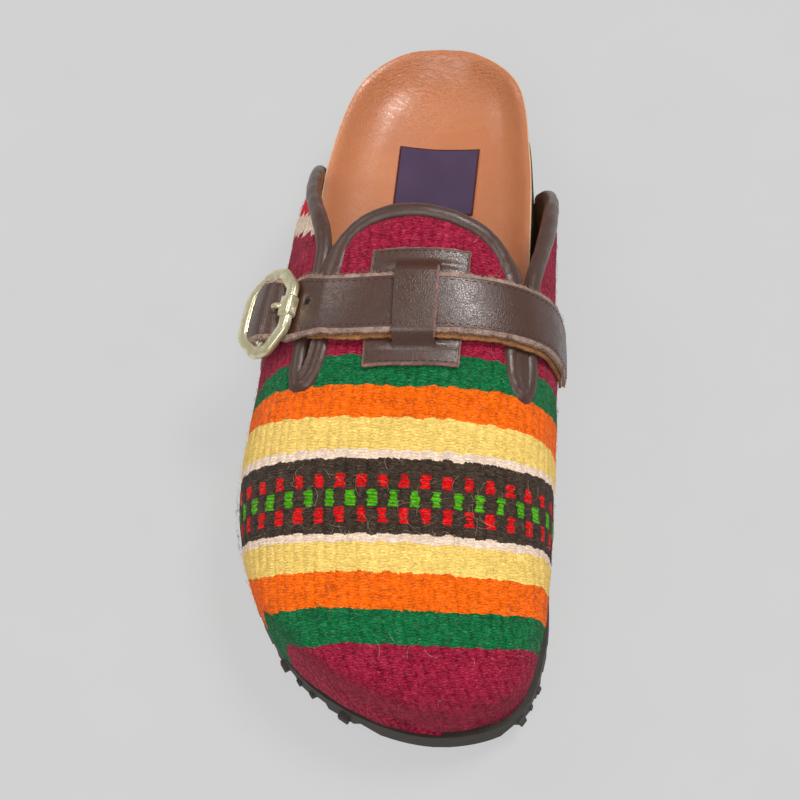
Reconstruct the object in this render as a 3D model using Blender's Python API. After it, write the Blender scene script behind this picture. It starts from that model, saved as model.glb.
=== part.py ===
"""A right-foot slip-on clog: lugged rubber outsole, cork midsole, leather insole, woven upper with a rolled
leather binding, and an instep strap with its keeper and buckle. The toe points to -Y, the big toe side is +X.
Lengths below are millimetres and are turned into metres once, as each mesh is made."""

import bpy
import bmesh
import numpy as np
from mathutils import Matrix, Vector

MM = 0.001
NAME = "woven_clog"
ORIGIN = (0.85, -0.9)        # x and y of the bounding box's middle, in the tables' own axes

GAP = 0.3                    # clearance between neighbouring pieces
WALL = 2.6                   # thickness of the upper
FEATHER_GAP = 0.5            # clearance between the upper's foot and the footbed
INSOLE_THICK = 1.6
LABEL_THICK = 0.5
BEAD_RADIUS = 2.7            # binding

# Plan outline of the footbed, from the toe tip round the big toe side to the heel and back.
FOOTBED_COLUMNS = ("place", "x", "y")
FOOTBED = (
    ("toe tip", 17.0, -141.0),
    ("big toe corner", 39.0, -133.5),
    ("big toe side", 47.0, -110.0),
    ("ball, big toe side", 49.0, -66.0),
    ("front of waist, big toe side", 48.6, -20.0),
    ("waist, big toe side", 46.3, 25.0),
    ("heel, big toe side", 46.2, 90.0),
    ("heel corner, big toe side", 40.2, 127.5),
    ("heel back", 10.5, 143.0),
    ("heel corner, outer side", -19.4, 127.5),
    ("heel, outer side", -31.0, 90.0),
    ("waist, outer side", -36.8, 25.0),
    ("front of waist, outer side", -45.8, -20.0),
    ("ball, outer side", -51.2, -68.0),
    ("little toe", -38.0, -106.0),
    ("toe corner, outer side", -11.0, -132.0),
)

# Heights along the sole. spring is the lift of the underside, floor the insole's middle,
# outer_rise and inner_rise the insole's edge over its middle, ledge the outsole past the footbed.
SOLE_COLUMNS = ("y", "spring", "thick", "floor", "outer_rise", "inner_rise", "ledge")
SOLE = (
    (-146.0, 9.5, 7.0, 26.0, 1.5, 1.5, 5.4),
    (-118.0, 3.6, 7.6, 20.5, 2.5, 2.5, 5.4),
    (-92.0, 0.5, 8.0, 17.8, 3.5, 3.5, 5.2),
    (-75.0, 0.0, 8.0, 17.2, 4.0, 4.0, 4.5),
    (-25.0, 0.0, 8.6, 18.0, 5.5, 8.0, 3.8),
    (5.0, 1.4, 8.0, 20.0, 8.0, 13.0, 3.4),
    (32.0, 2.2, 8.6, 22.0, 10.5, 14.5, 2.8),
    (60.0, 0.0, 12.4, 24.0, 12.0, 14.0, 2.2),
    (95.0, 0.0, 12.8, 25.0, 13.0, 13.5, 1.8),
    (144.0, 0.0, 12.8, 26.5, 12.5, 12.5, 1.6),
)
OUTLINE_POINTS = 720
RIM_REACH = 22.0             # how far in from the edge the footbed starts to rise
RIM_TURN = 30.0              # distance from the middle at which one side's rise is reached in full
LIP_REACH = 3.0              # the rounded edge of the footbed
LIP_DROP = 1.3

# Tread: straight grooves across the sole, with a plain waist.
GROOVE_PITCH = 11.5
GROOVE_DEPTH = 3.0
GROOVE_HALF = 1.7            # half width at the groove's bottom
GROOVE_DRAFT = 0.8           # how far each groove wall leans
GROOVE_SPANS = ((-139.0, -8.0), (56.0, 138.0))
TIP_STEPS = (0.0, 0.4, 1.6, 3.6, 6.6, 11.0, 16.5)   # rows of points from either end of a sole piece
SOLE_ROW_STEP = 14.0
FOOTBED_CELLS = 10           # cells across the cork and the insole
EDGE_CROWDING = 0.65         # how far those cells crowd towards the edges, from 0 to 1

# Sections of the upper. along runs over the crest from the toe tip; foot and crest are how far back the
# section starts and tops out; rise is its height; the bulges are its swell past either foot, at bulge_rise;
# outer_lean and inner_lean are 1 where a side rounds over as an ellipse, and more where it leans in sooner.
SECTION_COLUMNS = ("along", "foot", "crest", "rise", "outer_bulge", "inner_bulge", "bulge_rise", "ridge_x",
                   "outer_lean", "inner_lean")
SECTIONS = (
    (0.0, 0.0, 0.0, 0.0, 0.0, 0.0, 0.0, 16.0, 1.00, 1.00),
    (10.0, 4.5, -1.6, 10.0, 0.6, 0.6, 5.0, 16.0, 0.95, 0.95),
    (19.0, 11.0, -1.0, 19.0, 1.2, 1.2, 8.0, 15.5, 0.90, 0.90),
    (29.0, 20.0, 4.0, 27.5, 1.8, 1.8, 10.5, 14.0, 0.86, 0.86),
    (42.5, 32.0, 16.0, 34.0, 2.3, 2.3, 13.0, 12.0, 0.83, 0.83),
    (65.5, 49.0, 38.0, 40.0, 2.8, 2.8, 15.0, 9.0, 0.82, 0.82),
    (101.5, 75.0, 73.0, 48.0, 3.2, 3.2, 17.0, 6.0, 0.82, 0.82),
    (137.5, 108.0, 108.0, 56.5, 4.2, 4.2, 18.0, 6.0, 0.86, 0.86),
    (175.5, 145.0, 145.0, 65.0, 6.0, 6.0, 19.0, 7.0, 0.92, 0.92),
    (217.0, 186.5, 186.5, 71.0, 5.6, 6.8, 20.0, 8.0, 1.02, 0.96),
    (232.0, 201.5, 201.5, 73.0, 5.0, 6.6, 20.0, 8.0, 1.16, 0.98),
    (246.0, 215.5, 215.5, 75.0, 2.6, 5.4, 20.0, 8.0, 1.26, 1.00),
    (260.0, 229.5, 229.5, 76.0, 0.4, 3.0, 20.0, 8.0, 1.26, 1.00),
    (276.0, 245.5, 245.5, 76.0, 0.0, 0.6, 20.0, 8.0, 1.26, 1.00),
)
BULGE_LIMIT = 0.55                  # bulge_rise never passes this share of a low section
GRID_ALONG, GRID_ROUND = 138, 181   # samples of the upper's surface
SMOOTH_PASSES = 14                  # evens out the surface between the sections
FLAT_GIRTH = 202.0                  # width of the flat pattern, near the real girth at the instep
FOOT_SHARE = 0.05                   # over this share of a section the wall turns upright at its foot
UPPER_COLUMNS, UPPER_ROWS = 30, 26
ROW_CROWDING = 1.35                 # rows crowd towards the toe
MARGIN = 9.0                        # how far a flat cutter reaches past the pattern

# The collar edge, from the outer side's rear foot over both slits and the throat to the other foot.
# share runs round the section from the outer foot (0) to the big toe foot (1); height is over the surface.
COLLAR_COLUMNS = ("place", "share", "along", "height")
COLLAR = (
    ("outer foot", 0.004, 267.0, 0.6),
    ("outer rear low", 0.055, 265.0, 0.6),
    ("outer rear", 0.105, 260.0, -0.4),
    ("outer rear middle", 0.154, 249.5, -1.2),
    ("outer rear top", 0.211, 235.0, -1.3),
    ("outer quarter", 0.261, 222.0, -1.3),
    ("outer quarter middle", 0.293, 212.0, -1.3),
    ("outer quarter front", 0.313, 202.0, -1.3),
    ("outer slit top", 0.316, 188.0, -1.3),
    ("outer slit back", 0.303, 170.0, -1.3),
    ("outer slit back low", 0.295, 155.0, -1.3),
    ("outer slit turn back", 0.299, 147.5, -1.3),
    ("outer slit corner back", 0.307, 144.6, -1.3),
    ("outer slit corner front", 0.328, 144.6, -1.3),
    ("outer slit turn front", 0.337, 147.5, -1.3),
    ("outer slit front low", 0.344, 156.0, -1.3),
    ("outer slit front", 0.348, 172.0, -1.3),
    ("throat outer side", 0.349, 187.0, -1.3),
    ("throat outer shoulder", 0.370, 199.5, -1.3),
    ("throat outer", 0.410, 205.0, -1.3),
    ("throat top", 0.490, 207.0, -1.3),
    ("throat inner", 0.592, 203.5, -1.3),
    ("throat inner shoulder", 0.652, 198.0, -1.3),
    ("throat inner side", 0.690, 188.0, -1.3),
    ("inner slit front", 0.702, 170.0, -1.3),
    ("inner slit front low", 0.705, 153.0, -1.3),
    ("inner slit turn front", 0.710, 144.5, -1.3),
    ("inner slit corner front", 0.718, 141.6, -1.3),
    ("inner slit corner back", 0.737, 141.6, -1.3),
    ("inner slit turn back", 0.744, 144.5, -1.3),
    ("inner slit back low", 0.745, 154.0, -1.3),
    ("inner slit back", 0.744, 175.0, -1.3),
    ("inner slit top", 0.751, 194.0, -1.3),
    ("inner quarter", 0.776, 208.0, -1.3),
    ("inner quarter middle", 0.803, 220.0, -1.3),
    ("inner rear top", 0.852, 236.0, -1.2),
    ("inner rear", 0.905, 244.5, -0.6),
    ("inner rear low", 0.950, 251.0, 0.6),
    ("inner foot", 0.996, 257.0, 0.6),
)
COLLAR_STEP = 4.8            # spacing of the points along the binding

# Strap: its middle line over the upper, from beside the buckle to the big toe side.
# height is its underside over the upper, less on the big toe side, where it passes over no binding.
STRAP_COLUMNS = ("share", "along", "height")
STRAP = (
    (0.300, 176.5, 2.0),
    (0.370, 171.8, 2.0),
    (0.480, 170.0, 2.0),
    (0.560, 170.0, 2.0),
    (0.650, 171.0, 2.0),
    (0.740, 173.0, 2.0),
    (0.775, 174.0, 1.8),
    (0.830, 175.5, 0.6),
    (0.920, 178.5, 0.5),
)
STRAP_WIDTH, BACKING_WIDTH = 22.2, 23.8
STRAP_THICK, BACKING_THICK = 1.5, 1.0
BACKING_START = 0.350        # share where the lining layer stops short of the buckle
STRAP_END, BACKING_END = 0.915, 0.905
TAIL_START = 0.335           # share where the strap leaves the upper for the buckle
HOLE_SHARE, HOLE_ALONG, HOLE_RADIUS = 0.338, 173.3, 1.3

# Keeper: a patch with two slits, so that its middle band passes over the strap.
KEEPER_SHARE = (0.430, 0.606)
KEEPER_ALONG = (147.3, 191.8)
KEEPER_BAND = (0.481, 0.555)        # shares of the band's two edges
KEEPER_SLIT = 2.2                   # width of each slit
KEEPER_SLIT_ALONG = (153.2, 186.6)
KEEPER_THICK = 1.3
KEEPER_HEIGHT = 0.4
BAND_HEIGHT = 6.0
BAND_RAMP = 4.5
KEEPER_CELL = 4.0

# Buckle: a and c are its own axes, down the outer side from the front bar and out of its plane.
BUCKLE_SHARE, BUCKLE_ALONG, BUCKLE_HEIGHT = 0.291, 174.3, 6.1
BUCKLE_SLOPE = 40.0                 # degrees down to the outer side
BUCKLE_SKEW = (0.175, 0.976, 0.127)   # the direction of its bars
BUCKLE_LENGTH, BUCKLE_WIDTH = 21.5, 31.0   # between the middles of its bars
OUTER_CORNER, INNER_CORNER = 6.4, 3.0
BAR_WIDE, BAR_THICK, BAR_BEVEL = 3.4, 3.0, 0.8
CENTRE_BAR_RADIUS = 1.2
SLEEVE_LENGTH, SLEEVE_WIDE, SLEEVE_BEVEL = 7.4, 4.4, 0.5
SLEEVE_LOW, SLEEVE_HIGH = -1.3, 2.1
PRONG_RADIUS, PRONG_HOLE = 1.0, 1.9
PRONG_HOLE_ENDS = ((9.0, -1.4), (4.6, 4.4))
PRONG_COLUMNS = ("a", "c")
PRONG = ((6.9, 0.6), (6.0, 1.9), (4.0, 2.9), (0.6, 3.4))
TAIL_COLUMNS = ("a", "c")
TAIL = ((-2.0, -3.6), (0.0, -3.5), (3.3, -2.4), (6.9, 1.2), (10.2, 2.5), (14.0, 1.9))
CHAPE_COLUMNS = ("share", "height")
CHAPE = ((0.258, 2.6), (0.235, 1.5), (0.205, 0.5), (0.150, 0.5), (0.090, 0.5))
CHAPE_WIDTH, CHAPE_THICK = 17.0, 1.3

LABEL_MIDDLE = (9.8, 87.0)
LABEL_SIZE = (31.0, 31.0)
LABEL_TURN = -4.2                   # degrees

# Linear base colours.
COLOURS = {
    "rubber": (0.045, 0.042, 0.040),
    "cork": (0.30, 0.18, 0.09),
    "insole_leather": (0.55, 0.25, 0.13),
    "label_cloth": (0.045, 0.022, 0.065),
    "woven_cloth": (0.24, 0.03, 0.045),
    "brown_leather": (0.075, 0.048, 0.038),
    "tan_leather": (0.30, 0.15, 0.07),
    "brass": (0.55, 0.47, 0.27),
}


def table(columns, rows):
    """Columns of numbers by name; the place names are left out."""
    picked = [name for name in columns if name != "place"]
    start = len(columns) - len(picked)
    return dict(zip(picked, np.array([row[start:] for row in rows], float).T))


def hermite(knots, values, slopes, at):
    """A cubic through the values, with the given slopes at the knots."""
    i = np.clip(np.searchsorted(knots, at, side="right") - 1, 0, len(knots) - 2)
    span = knots[i + 1] - knots[i]
    u = (at - knots[i]) / span
    rise = u * (1 - u) ** 2 * slopes[i] + u * u * (u - 1) * slopes[i + 1]
    return (1 + 2 * u) * (1 - u) ** 2 * values[i] + u * u * (3 - 2 * u) * values[i + 1] + span * rise


def smooth(knots, values, at):
    """A smooth curve of one value through table rows, held at its end values."""
    at = np.clip(np.asarray(at, float), knots[0], knots[-1])
    return hermite(knots, values, np.gradient(values, knots), at)


def path_through(points, count):
    """A smooth open path through points of any dimension."""
    points = np.array(points, float)
    chord = np.r_[0.0, np.cumsum(np.linalg.norm(np.diff(points, axis=0), axis=1) ** 0.5)]
    at = np.linspace(0.0, chord[-1], count)
    return np.stack([smooth(chord, column, at) for column in points.T], axis=1)


def closed_outline(points, count):
    """A smooth closed outline through plan points."""
    points = np.array(points, float)
    lap = np.vstack([points[-3:], points, points[:4]])
    chord = np.r_[0.0, np.cumsum(np.linalg.norm(np.diff(lap, axis=0), axis=1) ** 0.5)]
    at = np.linspace(chord[3], chord[3 + len(points)], count, endpoint=False)
    return np.stack([smooth(chord, column, at) for column in lap.T], axis=1)


def grown(outline, distance):
    """The outline moved outwards, square to itself. It runs anticlockwise seen from above."""
    along = np.roll(outline, -1, axis=0) - np.roll(outline, 1, axis=0)
    along /= np.linalg.norm(along, axis=1)[:, None]
    outward = np.stack([along[:, 1], -along[:, 0]], axis=1)
    return outline + outward * np.reshape(distance, (-1, 1))


def two_sides(outline):
    """The outer and the big toe side of an outline, each from the toe tip to the heel back."""
    toe, heel = outline[:, 1].argmin(), outline[:, 1].argmax()
    turned = np.roll(outline, -toe, axis=0)
    split = (heel - toe) % len(outline)
    inner = turned[: split + 1]
    outer = np.vstack([turned[split:], turned[:1]])[::-1]
    return outer, inner


def across(sides, y, u):
    """x at the share u of the way from the outer side to the big toe side, at y."""
    outer = np.interp(y, sides[0][:, 1], sides[0][:, 0])
    inner = np.interp(y, sides[1][:, 1], sides[1][:, 0])
    return outer + (inner - outer) * u


SOLE_TABLE = table(SOLE_COLUMNS, SOLE)
SECTION_TABLE = table(SECTION_COLUMNS, SECTIONS)
COLLAR_TABLE = table(COLLAR_COLUMNS, COLLAR)
STRAP_TABLE = table(STRAP_COLUMNS, STRAP)
FOOTBED_TABLE = table(FOOTBED_COLUMNS, FOOTBED)
FOOTBED_OUTLINE = closed_outline(np.stack([FOOTBED_TABLE["x"], FOOTBED_TABLE["y"]], axis=1), OUTLINE_POINTS)
FEATHER_OUTLINE = grown(FOOTBED_OUTLINE, FEATHER_GAP + WALL)


def sole_value(name, y):
    return smooth(SOLE_TABLE["y"], SOLE_TABLE[name], y)


def underside(y):
    """The sole's underside between its grooves; it stands flat on the floor at the ball and the heel."""
    return np.maximum(sole_value("spring", y), 0.0)


def outsole_top(y):
    return underside(y) + sole_value("thick", y)


def footbed_height(x, y):
    """Top of the insole: a middle line, edges that rise to a rim, and a rounded lip."""
    spots = np.stack([x, y], axis=-1)
    inside = np.linalg.norm(spots[:, None, :] - FOOTBED_OUTLINE[None, ::4, :], axis=2).min(axis=1)
    middle = across(two_sides(FOOTBED_OUTLINE), y, 0.5)
    turn = np.clip((x - middle) / RIM_TURN, -1.0, 1.0) * 0.5 + 0.5
    rise = sole_value("outer_rise", y) * (1 - turn) + sole_value("inner_rise", y) * turn
    bowl = np.clip(1 - inside / RIM_REACH, 0.0, 1.0) ** 2
    lip = np.clip(1 - inside / LIP_REACH, 0.0, 1.0) ** 2
    return sole_value("floor", y) + rise * bowl - LIP_DROP * lip


def front_edge(x, bulge):
    """y of the swelled outline in front of x, so that the toe wall stands over the outline."""
    edge = grown(FEATHER_OUTLINE, bulge)
    outer, inner = (side[: np.abs(side[:, 0] - side[0, 0]).argmax()] for side in two_sides(edge))
    front = np.vstack([outer[::-1], inner[1:]])
    return np.interp(x, np.maximum.accumulate(front[:, 0]), front[:, 1])


def upper_section(along):
    """Points of one section of the upper's outside, from the outer foot over the crest, evenly spaced."""
    row = {}
    for name, values in SECTION_TABLE.items():
        row[name] = float(smooth(SECTION_TABLE["along"], values, along))
    toe_y = FEATHER_OUTLINE[:, 1].min()
    foot_y = toe_y + max(row["foot"], 0.0)
    base = float(outsole_top(foot_y)) + GAP
    top = base + max(row["rise"], 0.0)
    widest = base + min(row["bulge_rise"], BULGE_LIMIT * (top - base))
    sides = two_sides(FEATHER_OUTLINE)
    feet = [float(across(sides, foot_y, side)) for side in (0.0, 1.0)]
    ridge = min(max(row["ridge_x"], feet[0]), feet[1])
    low = np.linspace(0.0, np.pi / 2, 40)
    high = low[1:]
    halves = []
    swells = (-row["outer_bulge"], row["inner_bulge"])
    leans = (row["outer_lean"], row["inner_lean"])
    for foot, swell, lean in zip(feet, swells, leans):
        wide, tall = np.cos(high) ** lean, np.sin(high) ** lean
        x = np.r_[foot + swell * np.sin(low), ridge + (foot + swell - ridge) * wide]
        z = np.r_[base + (widest - base) * low / low[-1], widest + (top - widest) * tall]
        halves.append(np.stack([x, z], axis=1))
    outline = np.vstack([halves[0], halves[1][-2::-1]])
    lift = (outline[:, 1] - base) / max(top - base, 1e-9)
    y = foot_y + (toe_y + row["crest"] - foot_y) * lift
    y = np.maximum(y, np.minimum(front_edge(outline[:, 0], row["outer_bulge"]), foot_y))
    points = np.stack([outline[:, 0], y, outline[:, 1]], axis=1)
    run = np.r_[0.0, np.cumsum(np.linalg.norm(np.diff(points, axis=0), axis=1))]
    at = np.linspace(0.0, run[-1], GRID_ROUND)
    return np.stack([np.interp(at, run, column) for column in points.T], axis=1)


def upper_grid():
    """Samples of the upper's outside and of its outward normals."""
    stations = np.linspace(0.0, SECTION_TABLE["along"][-1], GRID_ALONG)
    points = np.array([upper_section(along) for along in stations])
    for _ in range(SMOOTH_PASSES):
        beside = points[3:-1, :-2] + points[3:-1, 2:]
        points[3:-1, 1:-1] = (points[2:-2, 1:-1] + points[4:, 1:-1] + beside) / 4
    normals = np.cross(np.gradient(points, axis=1), np.gradient(points, axis=0))
    normals[0] = normals[2]
    share = np.linspace(0.0, 1.0, GRID_ROUND)
    normals[..., 2] *= np.clip(np.minimum(share, 1 - share) / FOOT_SHARE, 0.0, 1.0)
    normals /= np.linalg.norm(normals, axis=2)[..., None]
    return points, normals


UPPER_POINTS, UPPER_NORMALS = upper_grid()


def on_upper(along, share, height):
    """Points at a height over the upper's outside, by distance from the toe and share of the way round."""
    along, share, height = np.broadcast_arrays(*(np.asarray(v, float) for v in (along, share, height)))
    row = np.clip(along / SECTION_TABLE["along"][-1], 0, 1) * (GRID_ALONG - 1)
    column = np.clip(share, 0, 1) * (GRID_ROUND - 1)
    i = np.minimum(row.astype(int), GRID_ALONG - 2)
    j = np.minimum(column.astype(int), GRID_ROUND - 2)
    f = (row - i)[..., None]
    g = (column - j)[..., None]

    def mixed(grid):
        near = grid[i, j] * (1 - g) + grid[i, j + 1] * g
        far = grid[i + 1, j] * (1 - g) + grid[i + 1, j + 1] * g
        return near * (1 - f) + far * f

    normal = mixed(UPPER_NORMALS)
    normal /= np.linalg.norm(normal, axis=-1)[..., None]
    return mixed(UPPER_POINTS) + normal * height[..., None]


def scaled(points):
    """Millimetres in the tables' axes to metres about the part's origin."""
    return (np.asarray(points, float) - np.array([ORIGIN[0], ORIGIN[1], 0.0])) * MM


def collection(name):
    made = bpy.data.collections.new(name)
    bpy.context.scene.collection.children.link(made)
    return made


def material(name):
    made = bpy.data.materials.new(name)
    made.use_nodes = True
    shader = made.node_tree.nodes["Principled BSDF"]
    kind = name.split("__")[0]
    shader.inputs["Base Color"].default_value = (*COLOURS[kind], 1.0)
    shader.inputs["Metallic"].default_value = 1.0 if kind == "brass" else 0.0
    shader.inputs["Roughness"].default_value = 0.35 if kind == "brass" else 0.7
    return made


def add_object(name, data, where, kind, smooth_faces=True):
    made = bpy.data.objects.new(name, data)
    where.objects.link(made)
    data.materials.append(material(kind + "__" + name))
    if smooth_faces:
        data.shade_smooth()
    return made


def grid_slab(columns, rows):
    """A closed slab of grid cells: x and y from 0 to 1, z 0 on top and -1 below."""
    bm = bmesh.new()
    bmesh.ops.create_grid(bm, x_segments=columns, y_segments=rows, size=0.5)
    bmesh.ops.translate(bm, vec=(0.5, 0.5, 0.0), verts=bm.verts)
    grown_part = bmesh.ops.extrude_face_region(bm, geom=bm.faces[:])
    lower = [item for item in grown_part["geom"] if isinstance(item, bmesh.types.BMVert)]
    bmesh.ops.translate(bm, vec=(0.0, 0.0, -1.0), verts=lower)
    return bm


def placed_mesh(name, bm, place):
    """The slab with every point moved by place(u, v, depth), as a closed mesh in metres."""
    spots = np.array([vert.co[:] for vert in bm.verts])
    moved = scaled(place(spots[:, 0], spots[:, 1], spots[:, 2]))
    for vert, co in zip(bm.verts, moved):
        vert.co = co
    bmesh.ops.remove_doubles(bm, verts=bm.verts, dist=0.002 * MM)
    bmesh.ops.recalc_face_normals(bm, faces=bm.faces)
    mesh = bpy.data.meshes.new(name)
    bm.to_mesh(mesh)
    bm.free()
    return mesh


def prism_mesh(name, outline, low, high):
    """A closed prism over a plan outline, in millimetres."""
    bm = bmesh.new()
    corners = [bm.verts.new((x, y, low)) for x, y in outline]
    bm.faces.new(corners)
    raised = bmesh.ops.extrude_face_region(bm, geom=bm.faces[:])
    upper_verts = [item for item in raised["geom"] if isinstance(item, bmesh.types.BMVert)]
    bmesh.ops.translate(bm, vec=(0.0, 0.0, high - low), verts=upper_verts)
    bmesh.ops.recalc_face_normals(bm, faces=bm.faces)
    mesh = bpy.data.meshes.new(name)
    bm.to_mesh(mesh)
    bm.free()
    return mesh


def boolean(target, cutter, operation):
    step = target.modifiers.new(operation.lower() + "_" + cutter.name, "BOOLEAN")
    step.operation = operation
    step.object = cutter
    step.solver = "EXACT"


def as_cutter(name, mesh, where):
    made = bpy.data.objects.new(name, mesh)
    where.objects.link(made)
    made.hide_render = True
    made.display_type = "WIRE"
    return made


def cut_flat(bm, outlines, where):
    """The flat slab less prisms over the outlines, triangulated while it is still flat."""
    mesh = bpy.data.meshes.new("flat")
    bm.to_mesh(mesh)
    bm.free()
    flat = bpy.data.objects.new("flat", mesh)
    where.objects.link(flat)
    cutters = []
    for number, outline in enumerate(outlines):
        prism = prism_mesh("flat_cutter", outline, -MARGIN, MARGIN)
        cutter = as_cutter(f"flat_cutter_{number}", prism, where)
        boolean(flat, cutter, "DIFFERENCE")
        cutters.append(cutter)
    bpy.context.view_layer.update()
    graph = bpy.context.evaluated_depsgraph_get()
    cut = bmesh.new()
    cut.from_mesh(bpy.data.meshes.new_from_object(flat.evaluated_get(graph)))
    for made in [flat] + cutters:
        bpy.data.objects.remove(made)
    bmesh.ops.triangulate(cut, faces=cut.faces, quad_method="BEAUTY", ngon_method="BEAUTY")
    return cut


def edge_weighted(u):
    """Spreads grid columns so that they crowd towards both edges."""
    return (1 - EDGE_CROWDING) * u + EDGE_CROWDING * (1 - np.cos(np.pi * u)) / 2


def sole_rows(sides, stops):
    """y of the rows of a sole piece: close together at both tips, and with the given stops between."""
    low, high = sides[0][0, 1], sides[0][-1, 1]
    tips = np.array(TIP_STEPS)
    middle = np.asarray(stops, float)
    middle = middle[(middle > low + tips[-1] + 1) & (middle < high - tips[-1] - 1)]
    return np.r_[low + tips, middle, (high - tips)[::-1]]


def make_outsole(where):
    outline = grown(FOOTBED_OUTLINE, sole_value("ledge", FOOTBED_OUTLINE[:, 1]))
    sides = two_sides(outline)
    edges = {}
    for start, stop in GROOVE_SPANS:
        for middle in np.arange(start, stop, GROOVE_PITCH):
            for side in (-1, 1):
                edges[middle + side * (GROOVE_HALF + GROOVE_DRAFT)] = 0.0
                edges[middle + side * GROOVE_HALF] = GROOVE_DEPTH
    waist = np.arange(GROOVE_SPANS[0][1] + SOLE_ROW_STEP, GROOVE_SPANS[1][0], SOLE_ROW_STEP)
    rows = sole_rows(sides, sorted(list(edges) + list(waist)))
    depth = np.array([edges.get(y, 0.0) for y in rows])

    def place(u, v, w):
        row = np.rint(v * (len(rows) - 1)).astype(int)
        y = rows[row]
        bottom = underside(y) + depth[row]
        return np.stack([across(sides, y, u), y, np.where(w > -0.5, outsole_top(y), bottom)], axis=1)

    mesh = placed_mesh("outsole", grid_slab(3, len(rows) - 1), place)
    return add_object("outsole", mesh, where, "rubber", smooth_faces=False)


def footbed_layer(name, where, kind, heights):
    """A layer with the footbed's outline; heights(x, y, w) gives its top (w 0) and its underside (w -1)."""
    sides = two_sides(FOOTBED_OUTLINE)
    rows = sole_rows(sides, np.arange(sides[0][0, 1], sides[0][-1, 1], SOLE_ROW_STEP))

    def place(u, v, w):
        y = rows[np.rint(v * (len(rows) - 1)).astype(int)]
        x = across(sides, y, edge_weighted(u))
        return np.stack([x, y, heights(x, y, w)], axis=1)

    return add_object(name, placed_mesh(name, grid_slab(FOOTBED_CELLS, len(rows) - 1), place), where, kind)


def make_midsole(where):
    def heights(x, y, w):
        top = footbed_height(x, y) - INSOLE_THICK - 2 * GAP
        return np.where(w > -0.5, top, outsole_top(y) + GAP)

    return footbed_layer("midsole", where, "cork", heights)


def make_insole(where):
    def heights(x, y, w):
        return footbed_height(x, y) + w * INSOLE_THICK

    return footbed_layer("insole", where, "insole_leather", heights)


def make_label(where):
    turn = np.radians(LABEL_TURN)

    def place(u, v, w):
        a, b = (u - 0.5) * LABEL_SIZE[0], (v - 0.5) * LABEL_SIZE[1]
        x = LABEL_MIDDLE[0] + a * np.cos(turn) - b * np.sin(turn)
        y = LABEL_MIDDLE[1] + a * np.sin(turn) + b * np.cos(turn)
        return np.stack([x, y, footbed_height(x, y) + 3 * GAP + (w + 1) * LABEL_THICK], axis=1)

    return add_object("label", placed_mesh("label", grid_slab(5, 5), place), where, "label_cloth")


def collar_path():
    """(share, along, height) down the collar edge, evenly spaced on the flat pattern."""
    rows = np.stack([COLLAR_TABLE[name] for name in ("share", "along", "height")], axis=1)
    flat = rows * np.array([FLAT_GIRTH, 1.0, 1.0])
    dense = path_through(flat, 1200)
    run = np.r_[0.0, np.cumsum(np.linalg.norm(np.diff(dense[:, :2], axis=0), axis=1))]
    at = np.linspace(0.0, run[-1], int(run[-1] / COLLAR_STEP) + 1)
    return np.stack([np.interp(at, run, column) for column in dense.T], axis=1)


def make_upper(where, cutters):
    path = collar_path()[:, :2]
    along = np.gradient(path, axis=0)
    along /= np.linalg.norm(along, axis=1)[:, None]
    back = path + np.stack([along[:, 1], -along[:, 0]], axis=1) * (BEAD_RADIUS + 2 * GAP)
    back[0, 0], back[-1, 0] = -MARGIN, FLAT_GIRTH + MARGIN
    length = SECTION_TABLE["along"][-1]
    far = length + MARGIN
    opening = np.vstack([back, [[FLAT_GIRTH + MARGIN, far], [-MARGIN, far]]])
    bm = grid_slab(UPPER_COLUMNS, UPPER_ROWS)
    for vert in bm.verts:
        vert.co = (vert.co.x * FLAT_GIRTH, vert.co.y ** ROW_CROWDING * length, vert.co.z * WALL)
    cut = cut_flat(bm, [opening], cutters)
    mesh = placed_mesh("upper", cut, lambda u, v, w: on_upper(v, u / FLAT_GIRTH, w))
    return add_object("upper", mesh, where, "woven_cloth")


def tube(name, points, radius, where, kind):
    """A round bar along a path, as a curve with filled ends."""
    curve = bpy.data.curves.new(name, "CURVE")
    curve.dimensions = "3D"
    curve.bevel_depth = radius * MM
    curve.bevel_resolution = 2
    curve.use_fill_caps = True
    spline = curve.splines.new("POLY")
    spline.points.add(len(points) - 1)
    for spot, co in zip(spline.points, scaled(points)):
        spot.co = (*co, 1.0)
    spline.use_smooth = True
    made = bpy.data.objects.new(name, curve)
    where.objects.link(made)
    curve.materials.append(material(kind + "__" + name))
    return made


def make_binding(where):
    path = collar_path()
    points = on_upper(path[:, 1], path[:, 0] / FLAT_GIRTH, path[:, 2])
    return tube("binding", points, BEAD_RADIUS, where, "brown_leather")


def buckle_frame_axes():
    """The middle of the buckle's front bar, and its axes a (down the side), b (along the bars), c (out)."""
    origin = on_upper(BUCKLE_ALONG, BUCKLE_SHARE, BUCKLE_HEIGHT)
    b = np.array(BUCKLE_SKEW) / np.linalg.norm(BUCKLE_SKEW)
    slope = np.radians(BUCKLE_SLOPE)
    a = np.array([-np.cos(slope), 0.0, -np.sin(slope)])
    a -= b * a.dot(b)
    a /= np.linalg.norm(a)
    return origin, a, b, np.cross(b, a)


def in_buckle(a, b, c):
    origin, axis_a, axis_b, axis_c = buckle_frame_axes()
    spot = origin
    for value, axis in ((a, axis_a), (b, axis_b), (c, axis_c)):
        spot = spot + np.asarray(value, float)[..., None] * axis
    return spot


def strap_along(share):
    return smooth(STRAP_TABLE["share"], STRAP_TABLE["along"], share)


def strap_height(share):
    return smooth(STRAP_TABLE["share"], STRAP_TABLE["height"], share)


def strip(name, columns, rows, place, where, kind):
    return add_object(name, placed_mesh(name, grid_slab(columns, rows), place), where, kind)


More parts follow.
